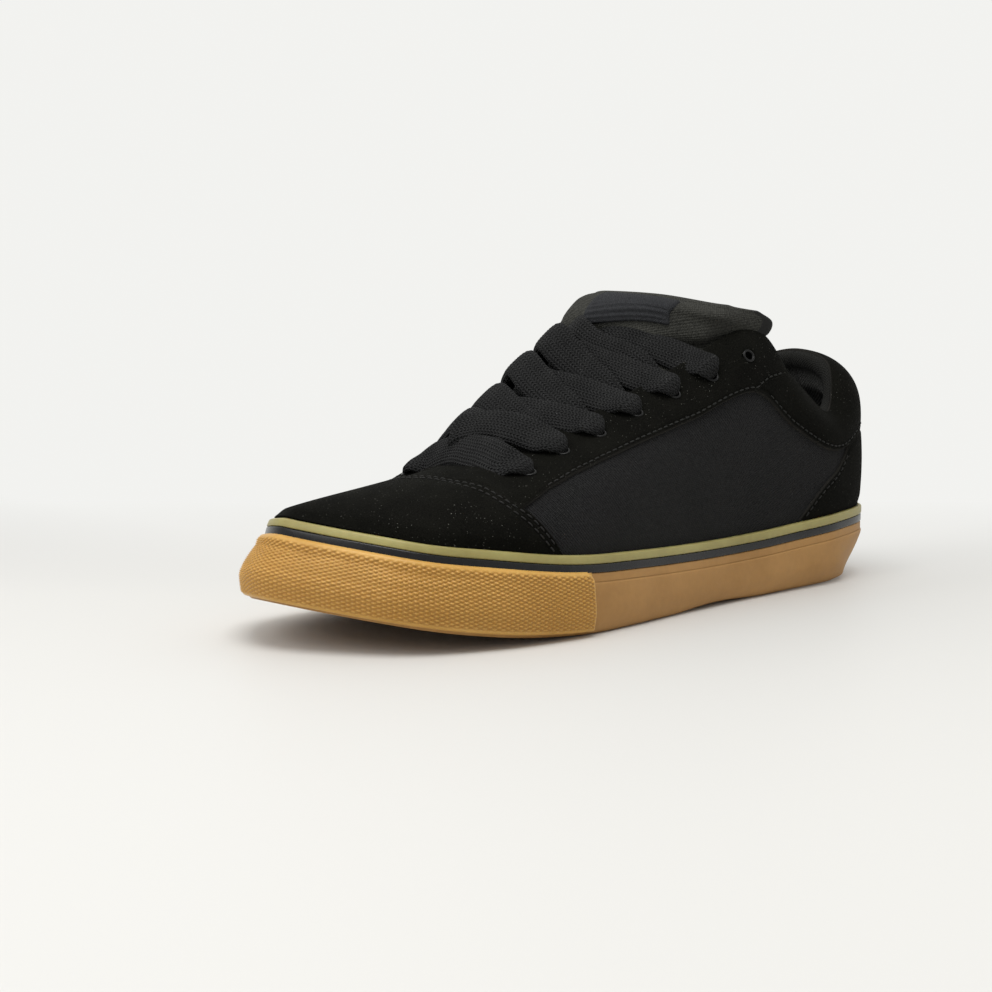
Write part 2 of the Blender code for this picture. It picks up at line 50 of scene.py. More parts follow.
# Sole
TOE_SPRING = 16.0
SPRING_START = 185.0
SPRING_END = 302.0
ARCH_RISE = 1.2
ARCH_START = 88.0
ARCH_END = 152.0
ARCH_TOP = 6.0
CUP_HEIGHT = 19.5
STRIP_HEIGHT = 2.8
STRIPE_HEIGHT = 2.8
BAND_HEIGHT = 4.3
TAPE = 2.0
GAP = 0.3
BELLY_SHARE = 0.45
BELLY_POWER = 1.5
HEEL_SLANT = 8.5
SLANT_START = 45.0
SLANT_RUN = 30.0
SLANT_POWER = 1.25
FOXING_TOP = CUP_HEIGHT + STRIP_HEIGHT + STRIPE_HEIGHT + BAND_HEIGHT + 3 * GAP
BAND_FOOT = FOXING_TOP - BAND_HEIGHT
SKIRT = FOXING_TOP - CUP_HEIGHT - GAP

# Upper
WALL = 2.2
PAD = 6.5
RIM_SHARE = 0.97
SUEDE = 1.5
COUNTER_SUEDE = 1.2
COLLAR_SUEDE = 1.3
CAP_SUEDE = 2.0

# The collar's padding: where it ends and over how many sections, from which share and over how much
PAD_END = 3.3
PAD_FADE = 0.8
PAD_FOOT = 0.4
PAD_CLIMB = 0.35

# Soft forms: the collar's puff, the vamp's creases and the slack of the canvas
PUFF = 1.8
PUFF_POWER = 1.2
PUFF_END = 3.6
PUFF_FADE = 0.9
VAMP_START = 7.2
VAMP_START_FADE = 0.6
VAMP_END = 9.8
VAMP_END_FADE = 0.8
VAMP_CLIMB = 3
VAMP_CREASES = (
    # middle_x, lean, depth, width
    (226, -14, 0.7, 4),
    (238, -18, 0.9, 5),
    (251, -20, 0.5, 5),
)
SLACK = 0.35
SLACK_ROUND = 1.9
SLACK_UP = 5

SECTIONS = np.array((
    # sole_x, sole_y, rim_x, rim_y, rim_z, low_out, low_rise, high_out, high_drop
    (0, 0, 22.5, -1, 94, 1.5, 30, 18, 2),
    (11.7, 27.3, 26, 18.5, 88.5, 2, 28, 15, 5),
    (41, 39, 43, 31.5, 70.5, 3, 18, 6, 9),
    (76, 41, 72, 35, 88, 3, 26, 5, 14),
    (112, 43, 90, 29, 106, 3, 36, 12, 10),
    (146, 47, 128, 23, 91, 3, 34, 15, 7),
    (180, 52, 160, 20, 79, 2, 28, 18, 6),
    (212, 54, 187, 17, 69, 1, 22, 20, 5),
    (247, 49.5, 205, 12, 61.5, 0, 13, 22, 4),
    (279, 34, 215, 5, 58.5, -1.5, 6, 26, 3),
    (302, -8, 218, -3, 57.5, -1.5, 2, 30, 5),
    (283, -41, 215, -11, 57, -1.5, 2.5, 24, 11),
    (251, -52, 205, -18, 59.5, -1, 5, 20, 11),
    (215, -53.5, 187, -23, 69, 1, 16, 20, 9),
    (180, -47.5, 160, -28.5, 82.5, 2, 30, 13, 7),
    (146, -39.5, 128, -31.5, 97, 3, 36, 9, 9),
    (112, -36.5, 90, -33.5, 108.5, 3, 38, 8, 10),
    (76, -37, 72, -34, 92, 3, 28, 5, 14),
    (41, -37, 43, -31, 79, 3, 20, 6, 9),
    (11.7, -26.3, 26, -19, 90, 2, 28, 15, 5),
), float)
TURN = len(SECTIONS)
TOE = TURN / 2

# How far the side stands in from the sole outline, along the sole
SIDE_INSETS = np.array((
    # x, at the foot, at the ledge, at the foxing top
    (0, 9, 0.3, 0),
    (40, 4, 0.3, 0.8),
    (112, 2, 0.5, 1.5),
    (212, 1.5, 1, 3),
    (279, 1, 4.5, 7.5),
    (302, 1, 7, 10),
), float)

# How the sole's side settles, at equal steps from the heel to the toe
SOLE_LINE_STEP = 30.0
SOLE_LINE = np.array((
    # drop of the ledge, share that the top band loses
    (0, 0.2),
    (0.2, 0.2),
    (1.5, 0.2),
    (3.0, 0.22),
    (3.4, 0.25),
    (2.7, 0.27),
    (1.3, 0.27),
    (0.1, 0.27),
    (-1.0, 0.27),
    (-0.5, 0.33),
    (0, 0.4),
))

# Seams as pairs of section and height share, on the outer side; the inner side mirrors them
CAP_END = 7.0
CAP_TOP = 0.8
CAP_POWER = 2.2
STAY_SEAM = np.array(((3.04, 1), (3.2, 0.88), (3.5, 0.735), (3.96, 0.575), (4.85, 0.552),
                      (5.86, 0.558), (6.53, 0.545), (6.96, 0.52), (7.35, 0.455), (7.7, 0.3),
                      (10, 0)))
COLLAR_SEAM = np.array(((0, 0.4), (0.8, 0.4), (1.6, 0.49), (2, 0.545), (2.7, 0.565),
                        (3.15, 0.58), (3.96, 0.575)))
COUNTER_SEAM = np.array(((0, 1), (1.66, 0.52), (2.3, 0.26), (2.75, 0)))
EYELETS = np.array(((7.72, 0.665), (7.1, 0.757), (6.46, 0.769), (5.82, 0.785), (5.2, 0.779),
                    (4.66, 0.757), (4.16, 0.772)))


def through_four(a, b, c, d, t):
    """Smooth curve between the second and third of four points, t from 0 to 1."""
    return b + 0.5 * t * (c - a + t * (2 * a - 5 * b + 4 * c - d + t * (3 * (b - c) + d - a)))


def along_loop(rows, place):
    """Smooth closed curve through the rows, at places counted in rows."""
    place = np.asarray(place, float)
    first = np.floor(place).astype(int)
    t = (place - first)[..., None]
    return through_four(*(rows[(first + step) % len(rows)] for step in (-1, 0, 1, 2)), t)


def along_open(points, place):
    """Smooth open curve through points, place 0 at the first point."""
    points = np.concatenate([[2 * points[0] - points[1]], points, [2 * points[-1] - points[-2]]])
    first = np.clip(np.floor(place).astype(int), 0, len(points) - 4)
    t = np.asarray(place - first)
    t = t.reshape(t.shape + (1,) * (points.ndim - 1))
    return through_four(*(points[first + step] for step in range(4)), t)


def unit(vectors):
    return vectors / np.linalg.norm(vectors, axis=-1)[..., None]


def smooth_step(value):
    value = np.clip(value, 0, 1)
    return value * value * (3 - 2 * value)


def quarter_round(value):
    """Height of a rounded edge, from 0 at its foot to 1 where it is full."""
    return np.sqrt(1 - (1 - np.clip(value, 0, 1)) ** 2)


def bell(value):
    return np.exp(-value**2)


def outline(section):
    return along_loop(SECTIONS[:, :2], section)


def outward(section):
    nudge = 0.001
    step = outline(section + nudge) - outline(section - nudge)
    return unit(np.stack([-step[..., 1], step[..., 0]], -1))


def side(section, inset, height):
    """Point on the sole's side, height counted from the sprung underside."""
    xy = outline(section)
    lift = np.clip((xy[..., 0] - SPRING_START) / (SPRING_END - SPRING_START), 0, 1)
    place = np.clip(xy[..., 0] / SOLE_LINE_STEP, 0, len(SOLE_LINE) - 1)
    drop, thin = np.moveaxis(along_open(SOLE_LINE, place), -1, 0)
    z = TOE_SPRING * lift**2 + height - drop * min(1, height / CUP_HEIGHT)
    z = z - thin * max(0, height - BAND_FOOT)
    xy = xy - outward(section) * np.broadcast_to(inset, z.shape)[..., None]
    return np.concatenate([xy, z[..., None]], -1)


def side_inset(section, height):
    """Inset of the sole's side at a height: foot, belly, ledge, foxing top."""
    x = outline(section)[..., 0]
    foot, ledge, top = (np.interp(x, SIDE_INSETS[:, 0], SIDE_INSETS[:, k]) for k in (1, 2, 3))
    belly = BELLY_SHARE * CUP_HEIGHT
    slant = HEEL_SLANT * smooth_step((SLANT_START - x) / SLANT_RUN)
    slant = slant * max(0, 1 - height / CUP_HEIGHT) ** SLANT_POWER
    if height < belly:
        return np.maximum(foot * (1 - height / belly) ** BELLY_POWER, slant)
    if height < CUP_HEIGHT:
        return np.maximum(ledge * ((height - belly) / (CUP_HEIGHT - belly)) ** BELLY_POWER, slant)
    return ledge + (top - ledge) * (height - CUP_HEIGHT) / (FOXING_TOP - CUP_HEIGHT)


def upper(section, share):
    """Outer surface of the upper: share 0 at the foxing top, 1 at the rim, -1 at the sole."""
    section, share = np.broadcast_arrays(np.asarray(section, float), np.asarray(share, float))
    row = along_loop(SECTIONS, section)
    out = np.concatenate([outward(section), np.zeros(section.shape + (1,))], -1)
    foot = side(section, side_inset(section, FOXING_TOP) + TAPE + GAP, FOXING_TOP)
    rim = row[..., 2:5]
    low = foot + out * row[..., 5:6] + UP * row[..., 6:7]
    high = rim + out * row[..., 7:8] - UP * row[..., 8:9]
    t = np.clip(share, 0, None)[..., None]
    curve = (1 - t)**3 * foot + 3 * (1 - t)**2 * t * low + 3 * (1 - t) * t**2 * high + t**3 * rim
    return curve + np.clip(share, None, 0)[..., None] * SKIRT * UP


def off_upper(section, share, distance):
    """Point at a distance outside the upper's surface."""
    step = 0.01
    section, share = np.broadcast_arrays(np.asarray(section, float), np.asarray(share, float))
    inner_share = np.clip(share, 0, 1 - step)
    round_step = upper(section + step, inner_share) - upper(section - step, inner_share)
    up_step = upper(section, inner_share + step) - upper(section, inner_share)
    normal = unit(np.cross(up_step, round_step))
    return upper(section, share) + normal * np.asarray(distance, float)[..., None]


def fold(section):
    """Section on the outer side that mirrors the given one."""
    section = np.mod(section, TURN)
    return np.minimum(section, TURN - section)


def seam(table, section):
    return np.interp(fold(section), table[:, 0], table[:, 1])


def cap_seam(section):
    reach = np.clip((TOE - fold(section)) / (TOE - CAP_END), 0, 1)
    return CAP_TOP * (1 - reach**CAP_POWER)


def padding(section):
    """Share of the collar's padding: 1 round the heel, 0 from the eyestay on."""
    return smooth_step((PAD_END - fold(section)) / PAD_FADE)


def wall_thickness(section, share):
    """Canvas and lining, swelling into the padded collar towards the rim."""
    return WALL + (PAD - WALL) * padding(section) * smooth_step((share - PAD_FOOT) / PAD_CLIMB)


def relief(section, share):
    """Soft form over the plain surface: the puffed collar, flex creases on the vamp, slack canvas."""
    near = smooth_step((PUFF_END - fold(section)) / PUFF_FADE)
    low = seam(COLLAR_SEAM, section)
    climb = np.clip((share - low) / (RIM_SHARE - low), 0, 1)
    puff = PUFF * near * np.sin(np.pi * climb) ** PUFF_POWER
    x = upper(section, share)[..., 0]
    crease = 0
    for middle, lean, depth, width in VAMP_CREASES:
        line = middle + lean * (share - 0.5)
        crease = crease - depth * bell((x - line) / width)
    vamp = smooth_step((fold(section) - VAMP_START) / VAMP_START_FADE)
    vamp = vamp * smooth_step((VAMP_END - fold(section)) / VAMP_END_FADE)
    slack = SLACK * np.sin(SLACK_ROUND * section + SLACK_UP * share)
    slack = slack * np.sin(np.pi * np.clip(share, 0, 1))
    return puff + crease * vamp * np.clip(share * VAMP_CLIMB, 0, 1) + slack


def wall(section, place, distance):
    """Point off the wall: place 0 to 1 up the outside, to 2 over the rim, to 3 down the inside,
    then behind the foxing to 4."""
    section, place = np.broadcast_arrays(np.asarray(section, float), np.asarray(place, float))
    distance = np.broadcast_to(np.asarray(distance, float), place.shape)
    share = np.where(place < 0, place, np.clip(place, 0, 1) * RIM_SHARE)
    outside = off_upper(section, share, distance + relief(section, share))
    half = wall_thickness(section, RIM_SHARE) / 2
    centre = off_upper(section, np.full(section.shape, RIM_SHARE), -half)
    out = unit(upper(section, RIM_SHARE) - centre)
    along = unit(upper(section, 1.0) - upper(section, RIM_SHARE))
    turned = np.clip(place - 1, 0, 1)
    angle = (turned * np.pi)[..., None]
    rim_out = relief(section, np.full(section.shape, RIM_SHARE)) * (1 - turned)
    reach = (half + distance + rim_out)[..., None]
    over = centre + (out * np.cos(angle) + along * np.sin(angle)) * reach
    inner_share = np.where(place > 3, -(place - 3), (3 - np.clip(place, 2, 3)) * RIM_SHARE)
    inside = off_upper(section, inner_share, -wall_thickness(section, inner_share) - distance)
    pick = place[..., None]
    return np.where(pick <= 1, outside, np.where(pick <= 2, over, inside))


def to_place(share):
    return share / RIM_SHARE


# Meshes

def make_piece(name, points, faces, material, uv=None, replaces=(), edge=None):
    """Smooth mesh piece from points in millimetres; its faces are turned to point outward."""
    points = np.asarray(points, float).reshape(-1, 3)
    faces = np.asarray(faces, int)
    volume = 0
    for corners in ([0, 1, 2], [0, 2, 3]):
        a, b, c = points[faces[:, corners]].swapaxes(0, 1)
        volume += np.einsum("ij,ij->", a, np.cross(b, c))
    if volume < 0:
        faces = faces[:, ::-1]
    faces = [list(dict.fromkeys(face)) for face in faces.tolist()]
    mesh = bpy.data.meshes.new(name)
    mesh.from_pydata(((points - BOX_MIDDLE) * MM).tolist(), [], faces)
    if uv is not None:
        layer = mesh.uv_layers.new(name="cloth")
        corners = np.asarray(uv, float).reshape(-1, 2)[np.concatenate(faces)]
        layer.uv.foreach_set("vector", corners.astype(np.float32).ravel())
    if edge is not None:
        layer = mesh.attributes.new("edge", "FLOAT", "POINT")
        layer.data.foreach_set("value", np.asarray(edge, np.float32).ravel())
    mesh.shade_smooth()
    piece = bpy.data.objects.new(name, mesh)
    bpy.context.scene.collection.objects.link(piece)
    mesh.materials.append(material)
    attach(piece, "root")
    if replaces:
        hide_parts(*replaces)
    return piece


def add_material(piece, material, flags):
    """Give the flagged faces a second material."""
    piece.data.materials.append(material)
    piece.data.polygons.foreach_set("material_index", flags.astype(np.int32))


def grid_faces(rows, columns, wrap_rows=False, wrap_columns=False):
    i, j = np.meshgrid(np.arange(rows if wrap_rows else rows - 1),
                       np.arange(columns if wrap_columns else columns - 1), indexing="ij")
    k, m = (i + 1) % rows, (j + 1) % columns
    corners = (i * columns + j, k * columns + j, k * columns + m, i * columns + m)
    return np.stack(corners, -1).reshape(-1, 4)


def strip_faces(first, second):
    """Quads between two equal runs of point numbers."""
    return np.stack([first[:-1], first[1:], second[1:], second[:-1]], -1)


def fan_faces(run, tip):
    """Triangles between a run of point numbers and one point, written as quads."""
    return strip_faces(run, np.full(len(run), tip))


def sheet_solid(top, bottom):
    """Points and faces of a closed sheet between two grids of the same shape."""
    rows, columns = top.shape[:2]
    count = rows * columns
    number = np.arange(count).reshape(rows, columns)
    faces = [grid_faces(rows, columns), grid_faces(rows, columns)[:, ::-1] + count]
    for edge in (number[0], number[-1, ::-1], number[::-1, 0], number[:, -1]):
        faces.append(strip_faces(edge, edge + count))
    return np.concatenate([top.reshape(-1, 3), bottom.reshape(-1, 3)]), np.concatenate(faces)


def loop_solid(profiles):
    """Points and faces of closed profiles joined round the shoe."""
    rows, columns = profiles.shape[:2]
    return profiles.reshape(-1, 3), grid_faces(rows, columns, True, True)


def run_length(points, axis):
    """Length along a grid's rows or columns, from the first point."""
    step = np.linalg.norm(np.diff(points, axis=axis), axis=-1)
    pad = [(0, 0)] * step.ndim
    pad[axis] = (1, 0)
    return np.pad(np.cumsum(step, axis), pad)


def cloth_map(grid):
    """Millimetres along and up a grid of points, for the weave."""
    middle = grid.shape[1] // 2
    along = run_length(grid[:, middle], 0)[:, None]
    up = run_length(grid, 1)
    up = up - up[:, middle:middle + 1]
    return np.stack([np.broadcast_to(along, up.shape), up], -1)


# Materials

RIB_PITCH = 1.35
BRAID_PITCH = 1.5
BRAID_SLANT = 0.9
SUEDE_DARK = (0.0026, 0.0026, 0.002)
SUEDE_LIGHT = (0.0072, 0.0071, 0.0055)
CUT_EDGE = (0.022, 0.021, 0.019)
# dark tone of the lining's rim; further inside the lining is painted lighter to make up for the shade
# there
RIM_DARK = (0.004, 0.004, 0.003)
LACE_DARK = (0.0052, 0.0053, 0.0056)
LACE_LIGHT = (0.027, 0.0273, 0.0275)
SUEDE_LINT = (0.12, 0.12, 0.105)
CLOTH_LINT = (0.12, 0.12, 0.12)
LACE_LINT = (0.16, 0.16, 0.16)
SUEDE_SHEEN = (0.5, 0.5, 0.46)
CLOTH_SHEEN = (0.6, 0.6, 0.62)
GUM_SCATTER = (0.003, 0.0015, 0.0006)


class Graph:
    """Short way to write a material: an input is a number, a colour or another node's output."""

    def __init__(self, name):
        self.material = bpy.data.materials.new(name)
        self.material.use_nodes = True
        self.tree = self.material.node_tree
        self.shader = self.tree.nodes["Principled BSDF"]
        self.place = self.add("ShaderNodeTexCoord").outputs["Object"]
        self.cloth = self.add("ShaderNodeUVMap", uv_map="cloth").outputs[0]

    def feed(self, socket, value):
        if isinstance(value, bpy.types.NodeSocket):
            self.tree.links.new(value, socket)
        elif isinstance(value, tuple):
            socket.default_value = (*value, 1) if len(socket.default_value) == 4 else value
        else:
            socket.default_value = value

    def add(self, kind, inputs=None, **settings):
        node = self.tree.nodes.new(kind)
        for key, value in settings.items():
            setattr(node, key, value)
        for key, value in (inputs or {}).items():
            self.feed(node.inputs[key], value)
        return node

    def math(self, operation, *values):
        node = self.add("ShaderNodeMath", operation=operation)
        for socket, value in zip(node.inputs, values):
            self.feed(socket, value)
        return node.outputs[0]

    def plus(self, first, second):
        return self.math("ADD", first, second)

    def times(self, first, second):
        return self.math("MULTIPLY", first, second)

    def weigh(self, *pairs):
        """Sum of values, each times its weight."""
        total, *rest = [self.times(value, weight) for value, weight in pairs]
        for part in rest:
            total = self.plus(total, part)
        return total

    def noise(self, size, detail):
        """Cloudy values from 0 to 1, size in millimetres."""
        inputs = {"Scale": 1 / MM / size, "Detail": detail, "Vector": self.place}
        return self.add("ShaderNodeTexNoise", inputs).outputs["Fac"]

    def edge(self):
        """The number that a piece keeps at its points: the distance from a cut edge on the suede, the
        mask of the painted valley shade on the bumper, and the place that sets the painted light on the
        lining.
        """
        return self.add("ShaderNodeAttribute", attribute_name="edge").outputs["Fac"]

    def ramp(self, value, low, high):
        inputs = {"Value": value, "From Min": low, "From Max": high}
        return self.add("ShaderNodeMapRange", inputs, clamp=True).outputs[0]

    def mix(self, share, first, second):
        node = self.add("ShaderNodeMix", data_type="RGBA")
        for index, value in ((0, share), (6, first), (7, second)):
            self.feed(node.inputs[index], value)
        return node.outputs[2]

    def lint(self, colour, pale, strength, size, low, high):
        """Pale fibres strewn over a colour."""
        fibres = self.ramp(self.noise(size, detail=1), low, high)
        return self.mix(self.times(fibres, strength), colour, pale)

    def bump(self, height, depth, strength):
        inputs = {"Height": height, "Distance": depth * MM, "Strength": strength}
        return self.add("ShaderNodeBump", inputs).outputs[0]

    def finish(self, **inputs):
        for key, value in inputs.items():
            self.feed(self.shader.inputs[key.replace("_", " ")], value)
        return self.material


def suede(name):
    """Black nap with brushed patches, pale lint and a paler cut edge."""
    g = Graph(name)
    fibres = g.noise(size=0.55, detail=3)
    patches = g.noise(size=14, detail=3)
    brushed = g.weigh((fibres, 0.6), (patches, 0.4))
    colour = g.mix(g.ramp(brushed, 0.38, 0.66), SUEDE_DARK, SUEDE_LIGHT)
    colour = g.mix(g.ramp(g.edge(), 0.75, 0.2), colour, CUT_EDGE)
    sparse = g.ramp(g.noise(size=18, detail=2), 0.3, 0.62)
    colour = g.lint(colour, SUEDE_LINT, sparse, size=0.62, low=0.725, high=0.77)
    nap = g.bump(g.noise(size=0.45, detail=3), depth=0.4, strength=0.8)
    return g.finish(Base_Color=colour, Roughness=0.95, Normal=nap, Specular_IOR_Level=0.05,
                    Sheen_Weight=0.008, Sheen_Roughness=0.5, Sheen_Tint=SUEDE_SHEEN)


def woven(name, dark, light, pitch, depth, twill=0.0, sheen=0.015, painted_inside_light=False):
    """Cloth of crossing threads; twill slants the crossings. With painted inside light the cloth is
    darker at the rim and painted lighter further inside, making up for the shade there.
    """
    g = Graph(name)
    parts = g.add("ShaderNodeSeparateXYZ", {"Vector": g.cloth}).outputs
    turn = 2 * np.pi / pitch
    slanted = g.plus(parts[0], g.times(parts[1], twill))
    across, along = (g.math("SINE", g.times(part, turn)) for part in (slanted, parts[1]))
    weave = g.times(across, along)
    uneven = g.noise(size=1.2, detail=2)
    height = g.plus(g.times(weave, 0.5), uneven)
    patches = g.noise(size=22, detail=2)
    yarn = g.ramp(g.noise(size=0.75, detail=1), 0.3, 0.7)
    tone = g.weigh((g.ramp(weave, -1, 1), 0.4), (patches, 0.25), (yarn, 0.45))
    colour = g.mix(tone, dark, light)
    colour = g.lint(colour, CLOTH_LINT, strength=0.5, size=0.6, low=0.75, high=0.8)
    # painted light: darker at the rim, lighter further inside where the shoe's shade falls
    if painted_inside_light:
        colour = g.mix(g.ramp(g.edge(), 1.6, 2.4), g.mix(0.88, colour, RIM_DARK), colour)
    return g.finish(Base_Color=colour, Roughness=0.9, Normal=g.bump(height, depth, strength=0.8),
                    Specular_IOR_Level=0.12, Sheen_Weight=sheen, Sheen_Roughness=0.5,
                    Sheen_Tint=CLOTH_SHEEN)


def braid(name):
    """Flat braid: slanted stitches that change direction from one rib to the next."""
    g = Graph(name)
    parts = g.add("ShaderNodeSeparateXYZ", {"Vector": g.cloth}).outputs
    slant = g.math("DIVIDE", g.math("PINGPONG", parts[1], RIB_PITCH), RIB_PITCH)
    step = g.plus(g.math("DIVIDE", parts[0], BRAID_PITCH), g.times(slant, BRAID_SLANT))
    stitch = g.math("SINE", g.times(step, 2 * np.pi))
    rib = g.math("ABSOLUTE", g.math("SINE", g.times(parts[1], np.pi / RIB_PITCH)))
    fuzz = g.noise(size=0.5, detail=2)
    height = g.plus(g.times(g.plus(stitch, rib), 0.4), fuzz)
    patches = g.noise(size=9, detail=2)
    tone = g.ramp(g.plus(g.times(stitch, 0.5), patches), -0.2, 1.1)
    colour = g.mix(tone, LACE_DARK, LACE_LIGHT)
    colour = g.lint(colour, LACE_LINT, strength=0.5, size=0.7, low=0.74, high=0.8)
    return g.finish(Base_Color=colour, Roughness=0.85, Normal=g.bump(height, depth=0.5, strength=1.0),
                    Specular_IOR_Level=0.12, Sheen_Weight=0.02, Sheen_Roughness=0.5,
                    Sheen_Tint=CLOTH_SHEEN)


def rubber(name, dark, light, roughness, grain, depth, through=0.0, valley_shade=None):
    """Rubber with soft clouds; a painted shade can darken the valleys between raised points."""
    g = Graph(name)
    clouds = g.noise(size=26, detail=3)
    spots = g.noise(size=2.5, detail=3)
    tone = g.weigh((clouds, 0.7), (spots, 0.3))
    colour = g.mix(g.ramp(tone, 0.35, 0.65), dark, light)
    # painted shade in the valleys between the raised points
    if valley_shade:
        colour = g.mix(g.ramp(g.edge(), 0.0, 0.55), valley_shade, colour)
    rough = g.plus(g.times(g.ramp(spots, 0.2, 0.9), 0.12), roughness)
    normal = g.bump(g.noise(grain, detail=2), depth, strength=0.5)
    return g.finish(Base_Color=colour, Roughness=rough, Normal=normal,
                    Specular_IOR_Level=0.35, Subsurface_Weight=through,
                    Subsurface_Radius=GUM_SCATTER, Subsurface_Scale=0.6)


def plain(name, colour, roughness, metallic=0.0, coat=0.0):
    """One colour with a faint grain."""
    g = Graph(name)
    shade = g.noise(size=1.5, detail=2)
    dark = tuple(0.7 * channel for channel in colour)
    normal = g.bump(g.noise(size=0.6, detail=2), depth=0.05, strength=0.4)
    return g.finish(Base_Color=g.mix(shade, dark, colour), Roughness=roughness, Normal=normal,
                    Metallic=metallic, Coat_Weight=coat, Specular_IOR_Level=0.3)


MATERIALS = {
    "suede": suede("suede"),
    "canvas": woven("canvas", (0.002, 0.0021, 0.0023), (0.0235, 0.0236, 0.0238), pitch=1.15,
                    depth=0.6, twill=0.05),
    # the lining is painted lighter than its knit to make up for the shade inside the shoe, and darkened
    # again at the rim
    "lining": woven("lining_knit", (0.02, 0.02, 0.019), (0.1, 0.1, 0.096), pitch=1.4, depth=0.4,
                    painted_inside_light=True),
    "tongue": woven("tongue_mesh", (0.0095, 0.0095, 0.0083), (0.06, 0.06, 0.053), pitch=1.3,
                    depth=0.4, twill=0.6),
    "binding": plain("tongue_binding", (0.012, 0.012, 0.0112), 0.85),
    "label": woven("label_weave", (0.013, 0.0136, 0.0152), (0.039, 0.0405, 0.044), pitch=0.9,
                   depth=0.25, sheen=0.02),
    "lace": braid("lace_braid"),
    "thread": plain("thread", (0.0125, 0.0125, 0.0112), 0.75),
    "gum": rubber("gum", (0.34, 0.175, 0.049), (0.42, 0.225, 0.07), roughness=0.5, grain=0.8,
                  depth=0.06, through=0.1),
    # the bumper's valleys between its points get a painted shade
    "bumper": rubber("gum_bumper", (0.54, 0.295, 0.064), (0.64, 0.37, 0.095), roughness=0.36,
                     grain=0.8, depth=0.05, through=0.05, valley_shade=(0.44, 0.22, 0.042)),
    "stripe": rubber("black_rubber", (0.006, 0.006, 0.0065), (0.01, 0.01, 0.011), roughness=0.22,
                     grain=1.2, depth=0.04),
    "band": rubber("olive_rubber", (0.275, 0.235, 0.08), (0.35, 0.31, 0.115), roughness=0.38,
                   grain=1.0, depth=0.04, through=0.15),
    "metal": plain("eyelet_lacquer", (0.004, 0.004, 0.004), 0.36, metallic=0.2, coat=0.05),
    "insole": woven("insole_cloth", (0.009, 0.009, 0.009), (0.02, 0.02, 0.021), pitch=1.2, depth=0.25),
}


# Sole

RING_STEPS = 400
RING = np.linspace(0, TURN, RING_STEPS, endpoint=False)
TREAD_PITCH = 7.0
TREAD_DEPTH = 1.4
TREAD_STRETCH = 0.55
GROOVE_HALF = 0.5
GROOVE_SLOPE = 0.9
TREAD_MARGIN = 5.0
TREAD_FADE = 2.0
# Bare rows of the underside at heel and toe, and the rows over which the tread grows
TREAD_BARE_ROWS = 8
TREAD_FADE_ROWS = 4
CAP_COLUMNS = 90
CUP_EDGES = np.array((
    # height, inset that rounds the edges
    (0, 2.2),
    (0.25, 1.3),
    (0.8, 0.6),
    (1.6, 0.2),
    (2.8, 0),
    (18.6, 0),
    (19.2, 0.1),
    (CUP_HEIGHT, 0.45),
))
CUP_LEVELS = np.sort(np.append(CUP_EDGES[:, 0], (5, CUP_HEIGHT * BELLY_SHARE, 11, 14, 17)))
FOXING = (
    # name, height, reach below and above it, recess, soft edge, material, slot
    ("foxing_strip", STRIP_HEIGHT, 2 * GAP, GAP / 2, 0.35, 0.45, "gum", "gum"),
    ("foxing_stripe", STRIPE_HEIGHT, GAP / 2, GAP / 2, 0.15, 0.45, "stripe", "black_rubber"),
    ("foxing_band", BAND_HEIGHT, GAP / 2, 0, 0, 0.8, "band", "olive_rubber"),
)
FOXING_SHARES = (0, 0.08, 0.2, 0.5, 0.8, 0.92, 1)


def tread(xy):
    """Height cut into the underside: diamonds with rounded grooves between them."""
    groove = np.zeros(len(xy))
    for slope in (1, -1):
        line = (xy[:, 0] * TREAD_STRETCH + slope * xy[:, 1]) / TREAD_PITCH
        near = np.abs(line - np.round(line)) * TREAD_PITCH
        groove = np.maximum(groove, 1 - smooth_step((near - GROOVE_HALF) / GROOVE_SLOPE))
    return TREAD_DEPTH * groove


def fill_ring(ring, base, start, treaded):
    """Points and faces that close a ring of the cup, in rows from its outer to its inner half."""
    half = len(ring) // 2
    outer, inner = ring[1:half], ring[:half:-1]
    row = np.arange(1, half)[:, None]
    shares = np.linspace(0, 1, CAP_COLUMNS + 1)[None, 1:-1, None]
    inside = outer[:, None] * (1 - shares) + inner[:, None] * shares
    if treaded:
        margin = np.minimum(shares, 1 - shares)[..., 0] * np.linalg.norm(outer - inner, axis=-1)[:, None]
        fade = smooth_step((margin - TREAD_MARGIN) / TREAD_FADE)
        fade = fade * smooth_step((np.minimum(row, half - row) - TREAD_BARE_ROWS) / TREAD_FADE_ROWS)
        inside[..., 2] += tread(inside[..., :2].reshape(-1, 2)).reshape(fade.shape) * fade
    number = start + np.arange(inside[..., 0].size).reshape(inside.shape[:2])
    number = np.concatenate([base + row, number, base + len(ring) - row], 1)
    cap = number.ravel()[grid_faces(*number.shape)]
    faces = [cap[:, ::-1] if treaded else cap, fan_faces(number[0], base),
             fan_faces(number[-1], base + half)]
    return inside.reshape(-1, 3), faces


